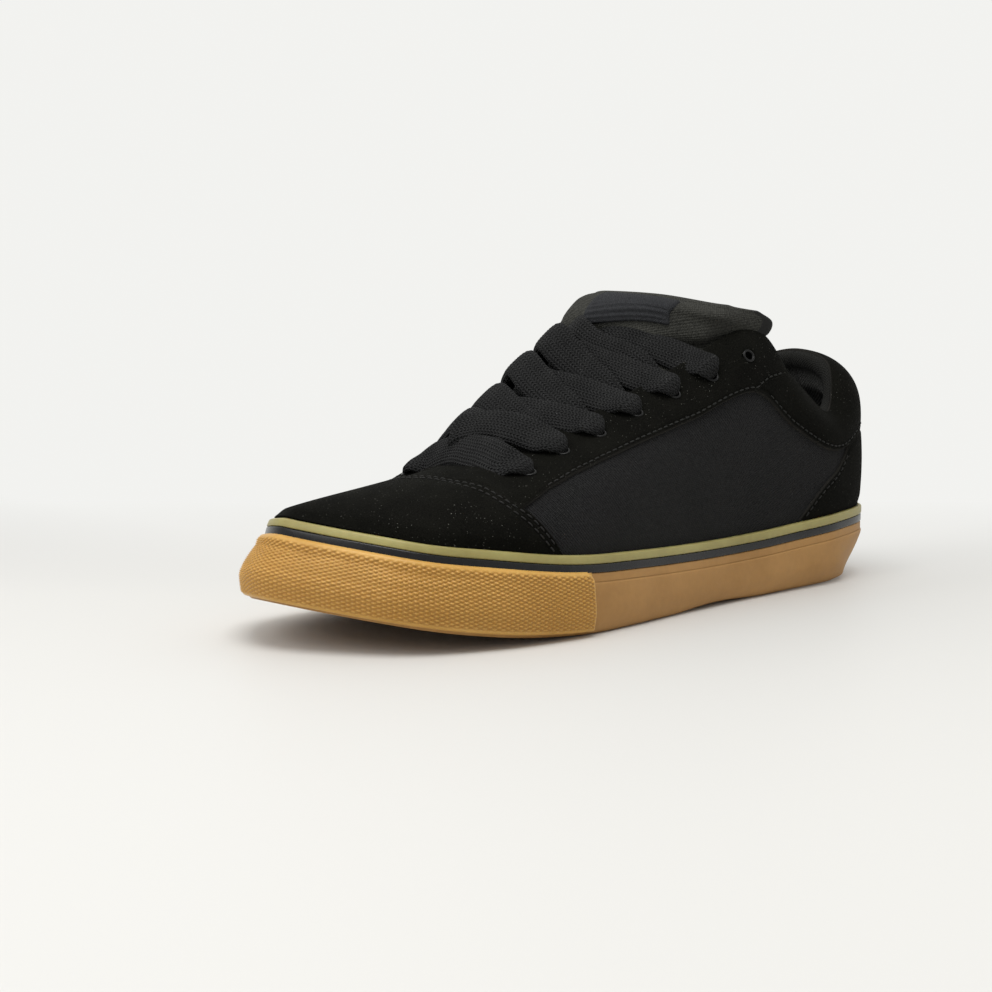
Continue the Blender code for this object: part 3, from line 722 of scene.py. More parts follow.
def make_outsole():
    """Gum cup with rounded edges, a low arch and the tread."""
    along = np.clip((outline(RING)[:, 0] - ARCH_START) / (ARCH_END - ARCH_START), 0, 1)
    arch = ARCH_RISE * np.sin(np.pi * along) ** 2
    rings = []
    for height, inset in zip(CUP_LEVELS, np.interp(CUP_LEVELS, *CUP_EDGES.T)):
        ring = side(RING, side_inset(RING, height) + inset, height)
        ring[:, 2] += arch * max(0, 1 - height / ARCH_TOP)
        rings.append(ring)
    top = (len(rings) - 1) * len(RING)
    start = len(rings) * len(RING)
    under, under_faces = fill_ring(rings[0], 0, start, True)
    over, over_faces = fill_ring(rings[-1], top, start + len(under), False)
    walls = grid_faces(len(rings), len(RING), False, True)
    faces = np.concatenate([walls, *under_faces, *over_faces])
    piece = make_piece("outsole_cup", np.concatenate([*rings, under, over]), faces, MATERIALS["gum"],
                       replaces=("outsole",))
    # the cap under the insole is dark, as the glue and cloth there are
    dark = sum(len(block) for block in over_faces)
    add_material(piece, MATERIALS["binding"], np.arange(len(faces)) >= len(faces) - dark)


def make_foxing():
    """Gum strip, black stripe and olive band, each with softened edges."""
    inner = side_inset(RING, FOXING_TOP) + TAPE
    base = CUP_HEIGHT + GAP
    for name, height, below, above, recess, soft, material, slot in FOXING:
        low = base - below
        high = base + height + above
        profile = [side(RING, inner, low)]
        for share in FOXING_SHARES:
            z = low + (high - low) * share
            edge = min(share, 1 - share) * (high - low)
            inset = soft * (1 - quarter_round(edge / soft))
            profile.append(side(RING, side_inset(RING, z) + recess + inset, z))
        profile.append(side(RING, inner, high))
        points, faces = loop_solid(np.stack(profile, 1))
        make_piece(f"{name}_rubber", points, faces, MATERIALS[material], replaces=(name,))
        base += height + GAP


BUMPER_ENDS = (6.65, 13.45)
BUMPER_STEPS = 1050
BUMPER_LEVELS = 76
BUMPER_FOOT = 1.2
BUMPER_LAP = 0.7
BUMPER_TOP = CUP_HEIGHT + GAP + STRIP_HEIGHT + BUMPER_LAP
BUMPER_PROUD = 1.2
BUMPER_SUNK = 0.3
BUMPER_BACK = 0.8
BUMPER_CORNER = 4.0
BUMPER_SOFT = 1.1
BUMPER_MARGIN = 0.9
# mask value that keeps the plain margin out of the painted valley shade
MARGIN_TONE = 0.6
DOT_PITCH = 3.6
DOT_RISE = 1.42
DOT_HEIGHT = 0.95


def make_bumper():
    """Toe bumper with its raised points and rounded rear corners."""
    places = np.linspace(*BUMPER_ENDS, BUMPER_STEPS)
    heights = np.linspace(BUMPER_FOOT, BUMPER_TOP, BUMPER_LEVELS)

    def layer(inset, levels):
        return np.stack([side(places, side_inset(places, z) + inset, z) for z in levels], 1)

    buried = layer(BUMPER_SUNK, heights)
    face = layer(-GAP - BUMPER_PROUD, heights)
    behind = layer(BUMPER_BACK, heights[[0, -1]])
    out = face - buried
    up = run_length(face, 1)
    along = run_length(face[:, len(heights) // 2], 0)[:, None]
    along = np.broadcast_to(along, up.shape)
    to_end = np.minimum(along, along[-1:] - along)
    to_top = up[:, -1:] - up
    corner = BUMPER_CORNER - np.hypot(np.clip(BUMPER_CORNER - to_end, 0, None),
                                      np.clip(BUMPER_CORNER - to_top, 0, None))
    edge = np.minimum(np.where(to_end < BUMPER_CORNER, corner, to_top), np.minimum(up, to_end))
    dotted = smooth_step((edge - BUMPER_MARGIN) / BUMPER_MARGIN)
    point = (np.sin(np.pi * (along / DOT_PITCH + up / DOT_RISE)) ** 2
             * np.sin(np.pi * (along / DOT_PITCH - up / DOT_RISE)) ** 2) * dotted
    proud = np.linalg.norm(out, axis=-1) * quarter_round(edge / BUMPER_SOFT) + DOT_HEIGHT * point
    top = buried + unit(out) * proud[..., None]
    rows, columns = top.shape[:2]
    number = np.arange(rows * columns).reshape(rows, columns)
    low, high = (rows * columns + np.arange(2 * rows).reshape(rows, 2)).T
    faces = [grid_faces(rows, columns), strip_faces(low, number[:, 0]), strip_faces(high, low),
             strip_faces(number[:, -1], high)]
    for row, turn in ((0, 1), (-1, -1)):
        shut = np.array([[number[row, 0], high[row], low[row], low[row]]])
        faces += [fan_faces(number[row], high[row])[:, ::-turn], shut[:, ::-turn]]
    points = np.concatenate([top.reshape(-1, 3), behind.reshape(-1, 3)])
    # the points' height, the mask of the painted shade in the valleys between them; the plain margin is
    # kept out of it
    tone = np.concatenate([(point + MARGIN_TONE * (1 - dotted)).ravel(), np.ones(2 * rows)])
    make_piece("toe_bumper_rubber", points, np.concatenate(faces), MATERIALS["bumper"],
               replaces=("toe_bumper",), edge=tone)


# Upper

QUARTER_STEPS = 320
QUARTER_LEVELS = np.concatenate([[-0.5], np.linspace(0, 1, 50), [1.25]])
CANVAS = 0.7
LINING_STEPS = 240
LINING_LEVELS = np.concatenate([np.linspace(1.1, 2, 18), np.linspace(2.04, 3, 26), [3.5]])
LINING = 0.4
LINING_BACK = 0.8
# Padding that bulges inside the heel, with the place of its crest and its reach to both sides
BULGE = 4.5
BULGE_CREST = 2.3
BULGE_REACH = 0.2
FOLDS = (
    # section, reach, depth
    (2.9, 0.22, 2.2),
    (1.1, 0.12, 1.5),
)
HOLE_DEPTH = 4.0
HOLE_RADIUS = 1.5
HOLE_EDGE = 0.6
HOLE_REACH = 6.0


def eyelet_at(k, side_sign):
    """Seat point and outward direction of an eyelet; side 1 is outer, -1 inner."""
    section, share = EYELETS[k]
    place = section if side_sign > 0 else TURN - section
    seat, tip = (wall(np.array(place), np.array(to_place(share)), d) for d in (SUEDE, SUEDE + 1))
    return seat, unit(tip - seat)


EYELET_FRAMES = {f"{label}_{k + 1}": eyelet_at(k, side_sign)
                 for label, side_sign in (("outer", 1), ("inner", -1)) for k in range(len(EYELETS))}


def eyelet_holes(points):
    """Depth of the sunk eyelet holes at points on the wall."""
    depth = 0
    for seat, normal in EYELET_FRAMES.values():
        away = points - seat
        flat = away - (away @ normal)[..., None] * normal
        hole = 1 - smooth_step((np.linalg.norm(flat, axis=-1) - HOLE_RADIUS) / HOLE_EDGE)
        depth = depth + np.where(np.linalg.norm(away, axis=-1) < HOLE_REACH, HOLE_DEPTH * hole, 0)
    return depth


def wall_shell(name, front, back, material, edge=None):
    """Closed sheet round the shoe, from its front over to its back."""
    uv = cloth_map(front)
    points, faces = loop_solid(np.concatenate([front, back[:, ::-1]], 1))
    return make_piece(name, points, faces, MATERIALS[material],
                      np.concatenate([uv, uv[:, ::-1]], 1), ("upper",), edge)


def make_quarter():
    """Canvas wall outside, up to the rim."""
    places = np.linspace(0, TURN, QUARTER_STEPS, endpoint=False)[:, None]
    holes = eyelet_holes(wall(places, QUARTER_LEVELS, 0))
    wall_shell("canvas_quarter", wall(places, QUARTER_LEVELS, -holes),
               wall(places, QUARTER_LEVELS, -CANVAS), "canvas")


def lining_puff(section, place):
    """Padding that bulges inside the heel, with folds where it turns at the collar's corners."""
    bulge = BULGE
    for middle, reach, depth in FOLDS:
        bulge = bulge - depth * bell((fold(section) - middle) / reach)
    return LINING + padding(section) * bell((place - BULGE_CREST) / BULGE_REACH) * bulge


def make_lining():
    """Padded lining over the rim and down the inside."""
    places = np.linspace(0, TURN, LINING_STEPS, endpoint=False)[:, None]
    front = wall(places, LINING_LEVELS, lining_puff(places, LINING_LEVELS))
    back = wall(places, LINING_LEVELS, -LINING_BACK)
    # the place over the rim and down the inside, kept as the mask of the lining's painted light
    levels = np.concatenate([LINING_LEVELS, LINING_LEVELS[::-1]])
    edge = np.broadcast_to(levels, (len(places), len(levels)))
    piece = wall_shell("padded_lining", front, back, "lining", edge)


# Suede panels and their stitching

RIM_WRAP = 1.3
COLLAR_WRAP = 1.12
# The cap's and counter's foot above the foxing, and how far a panel runs under the next one
PANEL_FOOT = 0.004
PANEL_LAP = 0.02
# The section where the collar passes under the eyestay
COLLAR_UNDER = 3.03
# Sections where the panels start or end, on the outer side
COUNTER_END = 2.74
COLLAR_END = 3.95
STAY_START = 3.06
CAP_START = 7.02
PANEL_SAMPLES = 90
PANEL_ROWS = 34
# Rows laid close to a panel's edges, and the most of a half panel that they may take up
EDGE_ROWS = np.array((0, 0.1, 0.3, 0.6, 1.0, 1.5))
EDGE_MOST = 0.8
PANEL_SOFT = 0.9
PANEL_SUNK = 0.15
GROOVE_DEPTH = 0.4
GROOVE_WIDTH = 0.7
# A panel's foot on the foxing: share of the thickness there, height over which it fills out, and
# how blunt its edge is
FOOT_THIN = 0.45
FOOT_RUN = 5.0
FOOT_SLOPE = 0.25
FOOT_EDGE = 1.0
CAP_STITCHES = (1.8, 4.2)
STAY_STITCHES = (2.0,)
COLLAR_STITCHES = (2.0,)
COUNTER_STITCHES = (2.2,)
SEAM_PITCH = 3.2
STITCH_LENGTH = 2.3
STITCH_SUNK = 0.25
STITCH_SAG = 0.18
STITCH_FLAT = 0.8
STITCH_SIDES = 6
STITCH_RINGS = (
    # place along the half stitch, size
    (-1, 0.35),
    (-0.75, 0.85),
    (0, 1.0),
    (0.75, 0.85),
    (1, 0.35),
)
THREAD = 0.36


def cap_low(section):
    return np.full(np.shape(section), PANEL_FOOT)


def cap_high(section):
    return to_place(cap_seam(section))


def stay_low(section):
    return to_place(np.maximum(seam(STAY_SEAM, section), cap_seam(section) - PANEL_LAP))


def stay_high(section):
    return np.full(np.shape(section), RIM_WRAP)


def collar_low(section):
    return to_place(seam(COLLAR_SEAM, section))


def collar_high(section):
    stay = seam(STAY_SEAM, section)
    under = np.where(stay < RIM_SHARE, to_place(stay + PANEL_LAP), COLLAR_WRAP)
    return np.where(fold(section) < COLLAR_UNDER, COLLAR_WRAP, np.minimum(under, COLLAR_WRAP))


def counter_high(section):
    return to_place(np.minimum(seam(COLLAR_SEAM, section) + PANEL_LAP, seam(COUNTER_SEAM, section)))


def spread(start, end, count):
    """Sections between two ends, closer near the ends."""
    near = np.array((0.0, 0.0008, 0.002, 0.004, 0.007))
    t = np.unique(np.concatenate([near, np.linspace(0, 1, count), 1 - near]))
    return start + (end - start) * t


def panel(name, node, sections, low, high, thickness, stitches, foot=False):
    """Suede overlay between two seams, with rounded edges, pressed down along its stitching.
    A panel with a foot stands on the foxing and is sewn along its top, the others along their
    lower edge."""
    start, end = low(sections), high(sections)
    places = start[:, None] + (end - start)[:, None] * np.linspace(0, 1, PANEL_SAMPLES)
    length = run_length(wall(sections[:, None], places, 0), 1)
    total = length[:, -1:]
    reach = np.minimum(EDGE_ROWS[None], total / 2 * EDGE_ROWS[None] / EDGE_ROWS[-1] * EDGE_MOST)
    middle = np.linspace(0, 1, PANEL_ROWS)[None, 1:-1]
    body = reach[:, -1:] + (total - 2 * reach[:, -1:]) * middle
    from_low = np.concatenate([reach, body, total - reach[:, ::-1]], 1)
    from_high = total - from_low
    spots = np.stack([np.interp(w, n, p) for w, n, p in zip(from_low, length, places)])
    flat = wall(sections[:, None], spots, 0)
    ends = run_length(flat[:, flat.shape[1] // 2], 0)[:, None]
    blunt = from_low * FOOT_SLOPE + FOOT_EDGE if foot else from_low
    to_ends = np.broadcast_to(np.minimum(ends, ends[-1] - ends), from_low.shape)
    edge = np.minimum.reduce([blunt, from_high, to_ends])
    rise = thickness * quarter_round(edge / PANEL_SOFT)
    if foot:
        rise = rise * (FOOT_THIN + (1 - FOOT_THIN) * smooth_step(from_low / FOOT_RUN))
    for distance in stitches:
        gap = (from_high if foot else from_low) - distance
        rise = rise - GROOVE_DEPTH * bell(gap / GROOVE_WIDTH) * np.clip(edge, 0, 1)
    if node == "eyestay":
        rise = rise - eyelet_holes(flat)
    points, faces = sheet_solid(wall(sections[:, None], spots, rise),
                                wall(sections[:, None], spots, -PANEL_SUNK))
    make_piece(name, points, faces, MATERIALS["suede"],
               np.concatenate([cloth_map(flat)] * 2), (node,), np.stack([edge] * 2))


def make_panels():
    panel("suede_counter", "heel_counter", spread(-COUNTER_END, COUNTER_END, 120), cap_low, counter_high,
          COUNTER_SUEDE, COUNTER_STITCHES, foot=True)
    panel("suede_collar", "collar", spread(-COLLAR_END, COLLAR_END, 170), collar_low, collar_high,
          COLLAR_SUEDE, COLLAR_STITCHES)
    panel("suede_eyestay", "eyestay", spread(STAY_START, TURN - STAY_START, 300), stay_low, stay_high,
          SUEDE, STAY_STITCHES)
    panel("suede_toe_cap", "toe_cap", spread(CAP_START, TURN - CAP_START, 200), cap_low, cap_high,
          CAP_SUEDE, CAP_STITCHES, foot=True)


def at_runs(spots, run, points):
    """Points at given lengths along a line."""
    return np.stack([np.interp(spots, run, points[:, k]) for k in range(3)], -1)


def stitch_row(sections, place, distance):
    """Stitch middles, half lengths and normals along a line on the wall."""
    points = wall(sections, place, distance)
    above = wall(sections, place, distance + 1)
    run = run_length(points, 0)
    spots = np.arange(SEAM_PITCH, run[-1] - SEAM_PITCH, SEAM_PITCH)
    middle = at_runs(spots, run, points)
    ahead = at_runs(spots + 0.5, run, points)
    normal = at_runs(spots, run, above - points)
    return middle, unit(ahead - middle) * STITCH_LENGTH / 2, unit(normal)


def make_stitches(name, rows):
    """One mesh of grain-shaped stitches."""
    middle, along, normal = (np.concatenate(column) for column in zip(*rows))
    across = unit(np.cross(normal, along))
    points = []
    for reach, size in STITCH_RINGS:
        sag = STITCH_SAG * (1 - reach**2)
        for angle in np.linspace(0, 2 * np.pi, STITCH_SIDES, endpoint=False):
            spot = middle + along * reach + across * (np.cos(angle) * size * THREAD)
            points.append(spot + normal * (np.sin(angle) * size * THREAD * STITCH_FLAT + sag))
    points = np.stack(points, 1)
    caps = np.array([[0, 1, 2, 3], [0, 3, 4, 5]])
    last = (len(STITCH_RINGS) - 1) * STITCH_SIDES
    faces = np.concatenate([grid_faces(len(STITCH_RINGS), STITCH_SIDES, False, True), caps,
                            caps[:, ::-1] + last])
    every = faces[None] + (np.arange(len(points)) * points.shape[1])[:, None, None]
    make_piece(name, points, every.reshape(-1, 4), MATERIALS["thread"])


def inset_line(sections, place, inset):
    """Place on the wall that lies a number of millimetres above a seam, or below it if negative."""
    step = 0.01
    size = np.linalg.norm(wall(sections, place + step, 0) - wall(sections, place, 0), axis=-1) / step
    return place + inset / size


def make_all_stitches():
    seams = (
        # name, ends of the runs, steps, seam, side of it, distances, thickness
        ("toe_cap_stitches", ((7.12, 12.88),), 400, cap_high, -1, CAP_STITCHES, CAP_SUEDE),
        ("eyestay_stitches", ((3.3, 7.45), (12.55, 16.7)), 400, stay_low, 1, STAY_STITCHES, SUEDE),
        ("collar_stitches", ((-3.8, 3.8),), 500, collar_low, 1, COLLAR_STITCHES, COLLAR_SUEDE),
        ("counter_stitches", ((1.7, 2.7), (-1.7, -2.7)), 120, counter_high, -1, COUNTER_STITCHES,
         COUNTER_SUEDE),
    )
    for name, ends, steps, line, way, distances, thickness in seams:
        rows = []
        for start, end in ends:
            run = np.linspace(start, end, steps)
            for distance in distances:
                place = inset_line(run, line(run), way * distance)
                rows.append(stitch_row(run, place, thickness - STITCH_SUNK))
        make_stitches(name, rows)


# Eyelets

LIP_RADIUS = 2.2
LIP_HEIGHT = 0.05
ROLL_WIDTH = 0.5
ROLL_HEIGHT = 0.4
EYELET_STEPS = 32
ROLL_TURN = np.radians(np.linspace(-20, 200, 9))
# Radius and height down the barrel's inside and up again
BARREL = ((1.65, -0.4), (1.55, -3.0), (1.8, -3.0), (1.9, -0.6))


def make_eyelets():
    """Turned rings with a rolled lip."""
    roll = np.stack([LIP_RADIUS + ROLL_WIDTH * np.cos(ROLL_TURN),
                     LIP_HEIGHT + ROLL_HEIGHT * np.sin(ROLL_TURN)], -1)
    radius, height = np.concatenate([roll, BARREL]).T
    turn = np.linspace(0, 2 * np.pi, EYELET_STEPS, endpoint=False)[:, None]
    ring = np.stack([radius * np.cos(turn), radius * np.sin(turn), height + 0 * turn], -1)
    for name, (seat, normal) in EYELET_FRAMES.items():
        spin = np.array(Vector(normal).to_track_quat("Z", "Y").to_matrix())
        points, faces = loop_solid(ring @ spin.T + seat)
        make_piece(f"eyelet_ring_{name}", points, faces, MATERIALS["metal"],
                   replaces=(f"eyelet_{name}",))


# Tongue

TONGUE_CLEAR = 1.2
TONGUE_EDGE = 4.2
# How full the shoulders between a rim and the middle are, outer and inner, in x, y and z
TONGUE_FULLNESS = np.array(((0.42, 0.42, 0.6), (0.36, 0.36, 0.7)))
TONGUE_ROWS = (
    # section, middle_x, middle_z, wing_share, tilt_degrees, thickness
    (8.4, 211, 55.5, 0.9, 65, 5),
    (8, 206, 59, 0.86, 65, 6),
    (7, 187, 71, 0.78, 65, 7),
    (6, 161, 84, 0.74, 65, 9),
    (5.2, 141, 94.5, 0.74, 60, 12),
    (4.6, 129, 100.5, 0.78, 50, 14),
)
TONGUE_TOP = (
    # middle x z, shoulder x y z, end x y z, shoulder x y z, end x y z, tilt_degrees, thickness
    (123.5, 107.5, 113, 22, 103.5, 98, 26, 99, 131, -33, 104.5, 108, -30, 101.5, 40, 18),
    (122.5, 114, 111, 24, 109, 85, 32.5, 102.5, 130, -34, 110, 108, -35.5, 107, 20, 20),
    (120.5, 116.8, 110, 27, 111.6, 81, 34, 105.2, 122.5, -34.5, 116.5, 103, -37.5, 111, 0, 20),
    (117.5, 118.4, 108, 27, 113.6, 80.8, 34.5, 109.2, 117.5, -33.5, 119, 103, -38, 114.2, 0, 14),
    (113.5, 119, 105, 26, 114.8, 86, 33, 112.6, 113.5, -31, 120, 106, -36, 116.6, 0, 8),
)
TONGUE_ROOT = (226, 52.6, 225, 9, 52.2, 222, 18, 51, 225, -9, 52.2, 222, -18, 51, 65, 3)
# Knots across the tongue, from 0 at the inner end to the last at the outer end
KNOTS = 7
LAST_KNOT = KNOTS - 1
TONGUE_MESH = (110, 61)
SINK_MOST = 0.9
CURL_TURN = 0.75
# Rounded side edges: reach in knots, and the share of the thickness that is left at the very edge
SIDE_REACH = 0.22
SIDE_THICK = 0.45
TOP_ROUND = 1.6
TOP_TURN = np.radians(np.linspace(15, 88, 7))
BINDING_REACH = 0.42
BINDING_NUDGE = 0.05
LABEL_ROWS = (7.25, 10.4)
LABEL_ACROSS = (2.35, 3.45)
LABEL_MESH = (60, 50)
LABEL_RISE = 0.9
LABEL_SOFT = 0.6
LABEL_SUNK = 0.5
LABEL_MARGIN = 1.2
LABEL_MARGIN_FADE = 0.8
LABEL_RIB = 0.22
LABEL_RIB_PITCH = 2.4
# The ribs fill the lower part of the label
LABEL_RIBBED = 0.5


def tongue_knots(row):
    """Points across the tongue's face, inner end to outer end, for a row under the stay."""
    section, middle_x, middle_z, wing_share = row[:4]
    inside = -(WALL + TONGUE_CLEAR)
    shares = np.array([wing_share, 1.0])
    outer, inner = (off_upper(place, shares, np.full(2, inside)) for place in (section, TURN - section))
    middle = np.array([middle_x, (outer[1, 1] + inner[1, 1]) / 2, middle_z])
    rims = np.array([outer[1], inner[1]])
    shoulders = rims * (1 - TONGUE_FULLNESS) + middle * TONGUE_FULLNESS
    return np.array([*inner, shoulders[1], middle, shoulders[0], *outer[::-1]])


def free_knots(row):
    """Points across the tongue's face for its root or a row above the stay."""
    middle = np.array([row[0], 0, row[1]], float)
    shoulder, end, inner_shoulder, inner_end = np.reshape(row[2:14], (4, 3)).astype(float)
    return np.array([inner_end, (inner_end + inner_shoulder) / 2, inner_shoulder, middle, shoulder,
                     (shoulder + end) / 2, end])


def tongue_rows():
    """Face knots of every row, and the matching back knots."""
    rows = [free_knots(TONGUE_ROOT)]
    rows += [tongue_knots(row) for row in TONGUE_ROWS]
    rows += [free_knots(row) for row in TONGUE_TOP]
    face = np.array(rows)
    tilt, thickness = np.array([row[-2:] for row in (TONGUE_ROOT, *TONGUE_ROWS, *TONGUE_TOP)]).T
    ends = np.linspace(0, 1, KNOTS)[None, :, None]
    chord = face[:, :1] * (1 - ends) + face[:, -1:] * ends
    depth = np.linalg.norm((face - chord)[:, KNOTS // 2], axis=-1)
    sink = np.clip((thickness - TONGUE_EDGE) / depth, 0, SINK_MOST)[:, None, None]
    ahead = np.stack([np.cos(np.radians(tilt)), 0 * tilt, np.sin(np.radians(tilt))], -1)[:, None]
    # above the stay the ends curl back, so there the thickness is laid sideways
    aside = np.linspace(-1, 1, KNOTS)[None, :, None]
    curl = (np.arange(len(face)) > len(TONGUE_ROWS))[:, None, None] * np.abs(aside)
    through = unit(ahead * (1 - CURL_TURN * curl) + np.array([0, 1, 0]) * aside * curl)
    return face, face * (1 - sink) + chord * sink - through * TONGUE_EDGE


def dense_sheet(knots, rows, across):
    """Smooth sheet through knots: rows counted from the root, across from the inner end."""
    return along_open(along_open(knots, rows).swapaxes(0, 1), across).swapaxes(0, 1)


def make_tongue():
    """Padded tongue with a bound edge and a closed, rounded top."""
    face, back = tongue_rows()
    rows = np.linspace(0, len(face) - 1, TONGUE_MESH[0])
    across = np.linspace(0, LAST_KNOT, TONGUE_MESH[1])
    top, bottom = (dense_sheet(knots, rows, across) for knots in (face, back))
    middle = (top + bottom) / 2
    near_side = np.minimum(across, LAST_KNOT - across)
    pinch = SIDE_THICK + (1 - SIDE_THICK) * quarter_round(near_side / SIDE_REACH)
    way = unit(middle[-1] - middle[-4])
    sides = []
    for sheet in (top, bottom):
        half = (sheet - middle) * pinch[None, :, None]
        closing = [middle[-1] + half[-1] * np.cos(angle) + way * TOP_ROUND * np.sin(angle)
                   for angle in TOP_TURN]
        sides.append(np.concatenate([middle + half, closing]))
    points, faces = sheet_solid(*sides)
    uv = np.concatenate([cloth_map(sides[0])] * 2)
    piece = make_piece("padded_tongue", points, faces, MATERIALS["tongue"], uv, ("tongue",))
    inward = across[:-1] + BINDING_NUDGE
    bound = np.minimum(inward, LAST_KNOT - across[:-1] - BINDING_NUDGE) < BINDING_REACH
    block = np.broadcast_to(bound, (len(sides[0]) - 1, len(bound))).ravel()
    add_material(piece, MATERIALS["binding"],
                 np.concatenate([block, block, np.ones(len(faces) - 2 * len(block), bool)]))


def make_label():
    """Plain woven label with cross ribs, sewn to the tongue's face."""
    rows = np.linspace(*LABEL_ROWS, LABEL_MESH[0])
    across = np.linspace(*LABEL_ACROSS, LABEL_MESH[1])
    flat = dense_sheet(tongue_rows()[0], rows, across)
    normal = unit(np.cross(np.gradient(flat, axis=1), np.gradient(flat, axis=0)))
    normal *= np.sign(normal[..., :1] + normal[..., 2:])
    up = run_length(flat, 0)
    along = run_length(flat, 1)
    edge = np.minimum.reduce([up, up[-1:] - up, along, along[:, -1:] - along])
    ribs = LABEL_RIB * np.cos(2 * np.pi * up / LABEL_RIB_PITCH)
    ribs = ribs * smooth_step((edge - LABEL_MARGIN) / LABEL_MARGIN_FADE) * (up < LABEL_RIBBED * up[-1:])
    rise = LABEL_RISE * quarter_round(edge / LABEL_SOFT) + ribs
    points, faces = sheet_solid(flat + normal * rise[..., None], flat - normal * LABEL_SUNK)
    uv = np.concatenate([np.stack([along, up], -1)] * 2)
    make_piece("woven_label", points, faces, MATERIALS["label"], uv)


# Lace

LACE_WIDTH = 14.0
LACE_HEIGHT = 3.6
LACED_PAIRS = 6
RIB_HEIGHT = 0.42
RIB_MIDDLE = 0.6
RIB_POINTS = 4
SECTION_POWER = 2.7
SECTION_SAMPLES = 2000
PATH_SAMPLES = 30
LACE_STEP = 1.7
LACE_LEAST = (2.6, 1.0)
# Ways in which the tongue and the front of the vamp fall, for the flat of the bars
TONGUE_WAY = np.array([0.76, 0, -0.65])
FIRST_WAY = np.array([0.6, 0, -0.8])
# The start of a bar under the flap: share from eyelet to rim, depth, way ahead, width, height
FLAP_SHARE = 0.8
FLAP_DEPTH = 1.2
FLAP_AHEAD = 2.0
FLAP_WIDTH = 0.7 * LACE_WIDTH
FLAP_HEIGHT = 1.4
# At the back of an eyelet: depth, way towards the next bar, width
BACK_DEPTH = 0.9
BACK_AHEAD = 2.5
BACK_WIDTH = 6.0
FIRST_BACK = 9.0
FIRST_STEPS = (0.55, 0.65, 0.75, 0.85)
FIRST_BAR = {
    # side: heights over the line between the two front eyelets, from the middle
    1: (7.6, 7.0, 5.6, 4.0),
    -1: (8.2, 7.6, 6.2, 4.4),
}
BAR_STEPS = (0.32, 0.46, 0.6, 0.74, 0.87)
CROSSINGS = (
    # heights over the line between the eyelets: five from the inner side, five from the outer side,
    # then how far the second bar is pushed to the front
    (12.5, 14.4, 13, 9.6, 5, 4.5, 8.6, 11, 12, 7, 2),
    (12, 11.2, 9, 6.8, 4.4, 3.6, 6.8, 10.5, 13, 9, 4),
    (13.6, 12.6, 10.2, 7.2, 4.4, 4.2, 8, 12.5, 16.5, 12, 7),
    (14.8, 13.8, 11.2, 8, 4.8, 5, 9.5, 14.5, 19, 14, 11),
    (13.6, 14.6, 12, 8.8, 5.2, 6.5, 9.5, 11.5, 15, 13.5, 16),
)
DIVE = (
    # back from the hole, above the suede, lean of the normal towards the way, width, height
    (4.4, 2.3, 0.1, 12.2, 3.3),
    (2.2, 1.9, 0.3, 10.6, 3.2),
    (0.6, 0.7, 0.9, 6.6, 2.9),
    (0.3, -2.4, 1.0, 3.2, 2.8),
)
# Unevenness: sideways wander where the lace is wide, and a slow swell of its width
WANDER = 0.5
WANDER_RUN = 17.0
WANDER_WIDTH = 9.0
WANDER_FADE = 4.0
SWELL = 0.03
SWELL_RUN = 6.3


def flap_at(k, side_sign):
    """Point inside the flap, between an eyelet and its rim."""
    section, share = EYELETS[k]
    place = section if side_sign > 0 else TURN - section
    low = to_place(share)
    return wall(np.array(place), np.array(low + (1 - low) * FLAP_SHARE), -WALL - FLAP_DEPTH)


def bar_normal(ahead, way):
    """Direction the flat of the lace faces on a bar that runs ahead and lies down along a way."""
    normal = unit(np.cross(way, ahead))
    return normal * np.sign(normal[2])


def dive(seat, out, before):
    """Knots that bend into an eyelet from a spot before it."""
    way = seat - before
    way = unit(way - out * way.dot(out))
    return [(seat - way * back + out * rise, out * (1 - lean) + way * lean, width, height)
            for back, rise, lean, width, height in DIVE]


def lace_bar(k, start_side):
    """Knots of a crossing bar, from under one flap to the next eyelet on the other side, each with
    spot, normal, width and height. The last ones dive through the eyelet."""
    heights = CROSSINGS[k][:5] if start_side < 0 else CROSSINGS[k][5:10]
    forward = 0 if start_side < 0 else CROSSINGS[k][10]
    start, start_out = eyelet_at(k, start_side)
    end, end_out = eyelet_at(k + 1, -start_side)
    ahead = unit(end - start)
    normal = bar_normal(ahead, TONGUE_WAY)
    hidden = flap_at(k, start_side) + ahead * FLAP_AHEAD
    knots = [(hidden, unit(normal + start_out), FLAP_WIDTH, FLAP_HEIGHT)]
    for t, height in zip(BAR_STEPS, heights):
        lift = np.array([forward * np.sin(np.pi * t**2), 0, height])
        # the flat turns to the eyelet late
        turned = unit(normal * (1 - t**4) + end_out * t**4)
        knots.append((start * (1 - t) + end * t + lift, turned, LACE_WIDTH, LACE_HEIGHT))
    return knots + dive(end, end_out, knots[-1][0])


def lace_first(side_sign):
    """Half of the straight bar at the front."""
    start, _ = eyelet_at(0, -side_sign)
    end, end_out = eyelet_at(0, side_sign)
    normal = bar_normal(unit(end - start), FIRST_WAY)
    knots = []
    for t, height in zip(FIRST_STEPS, FIRST_BAR[side_sign]):
        spot = start * (1 - t) + end * t + UP * height
        spot[0] -= FIRST_BACK * (0.5 - t) * side_sign
        knots.append((spot, normal, LACE_WIDTH, LACE_HEIGHT))
    return knots + dive(end, end_out, knots[-1][0])


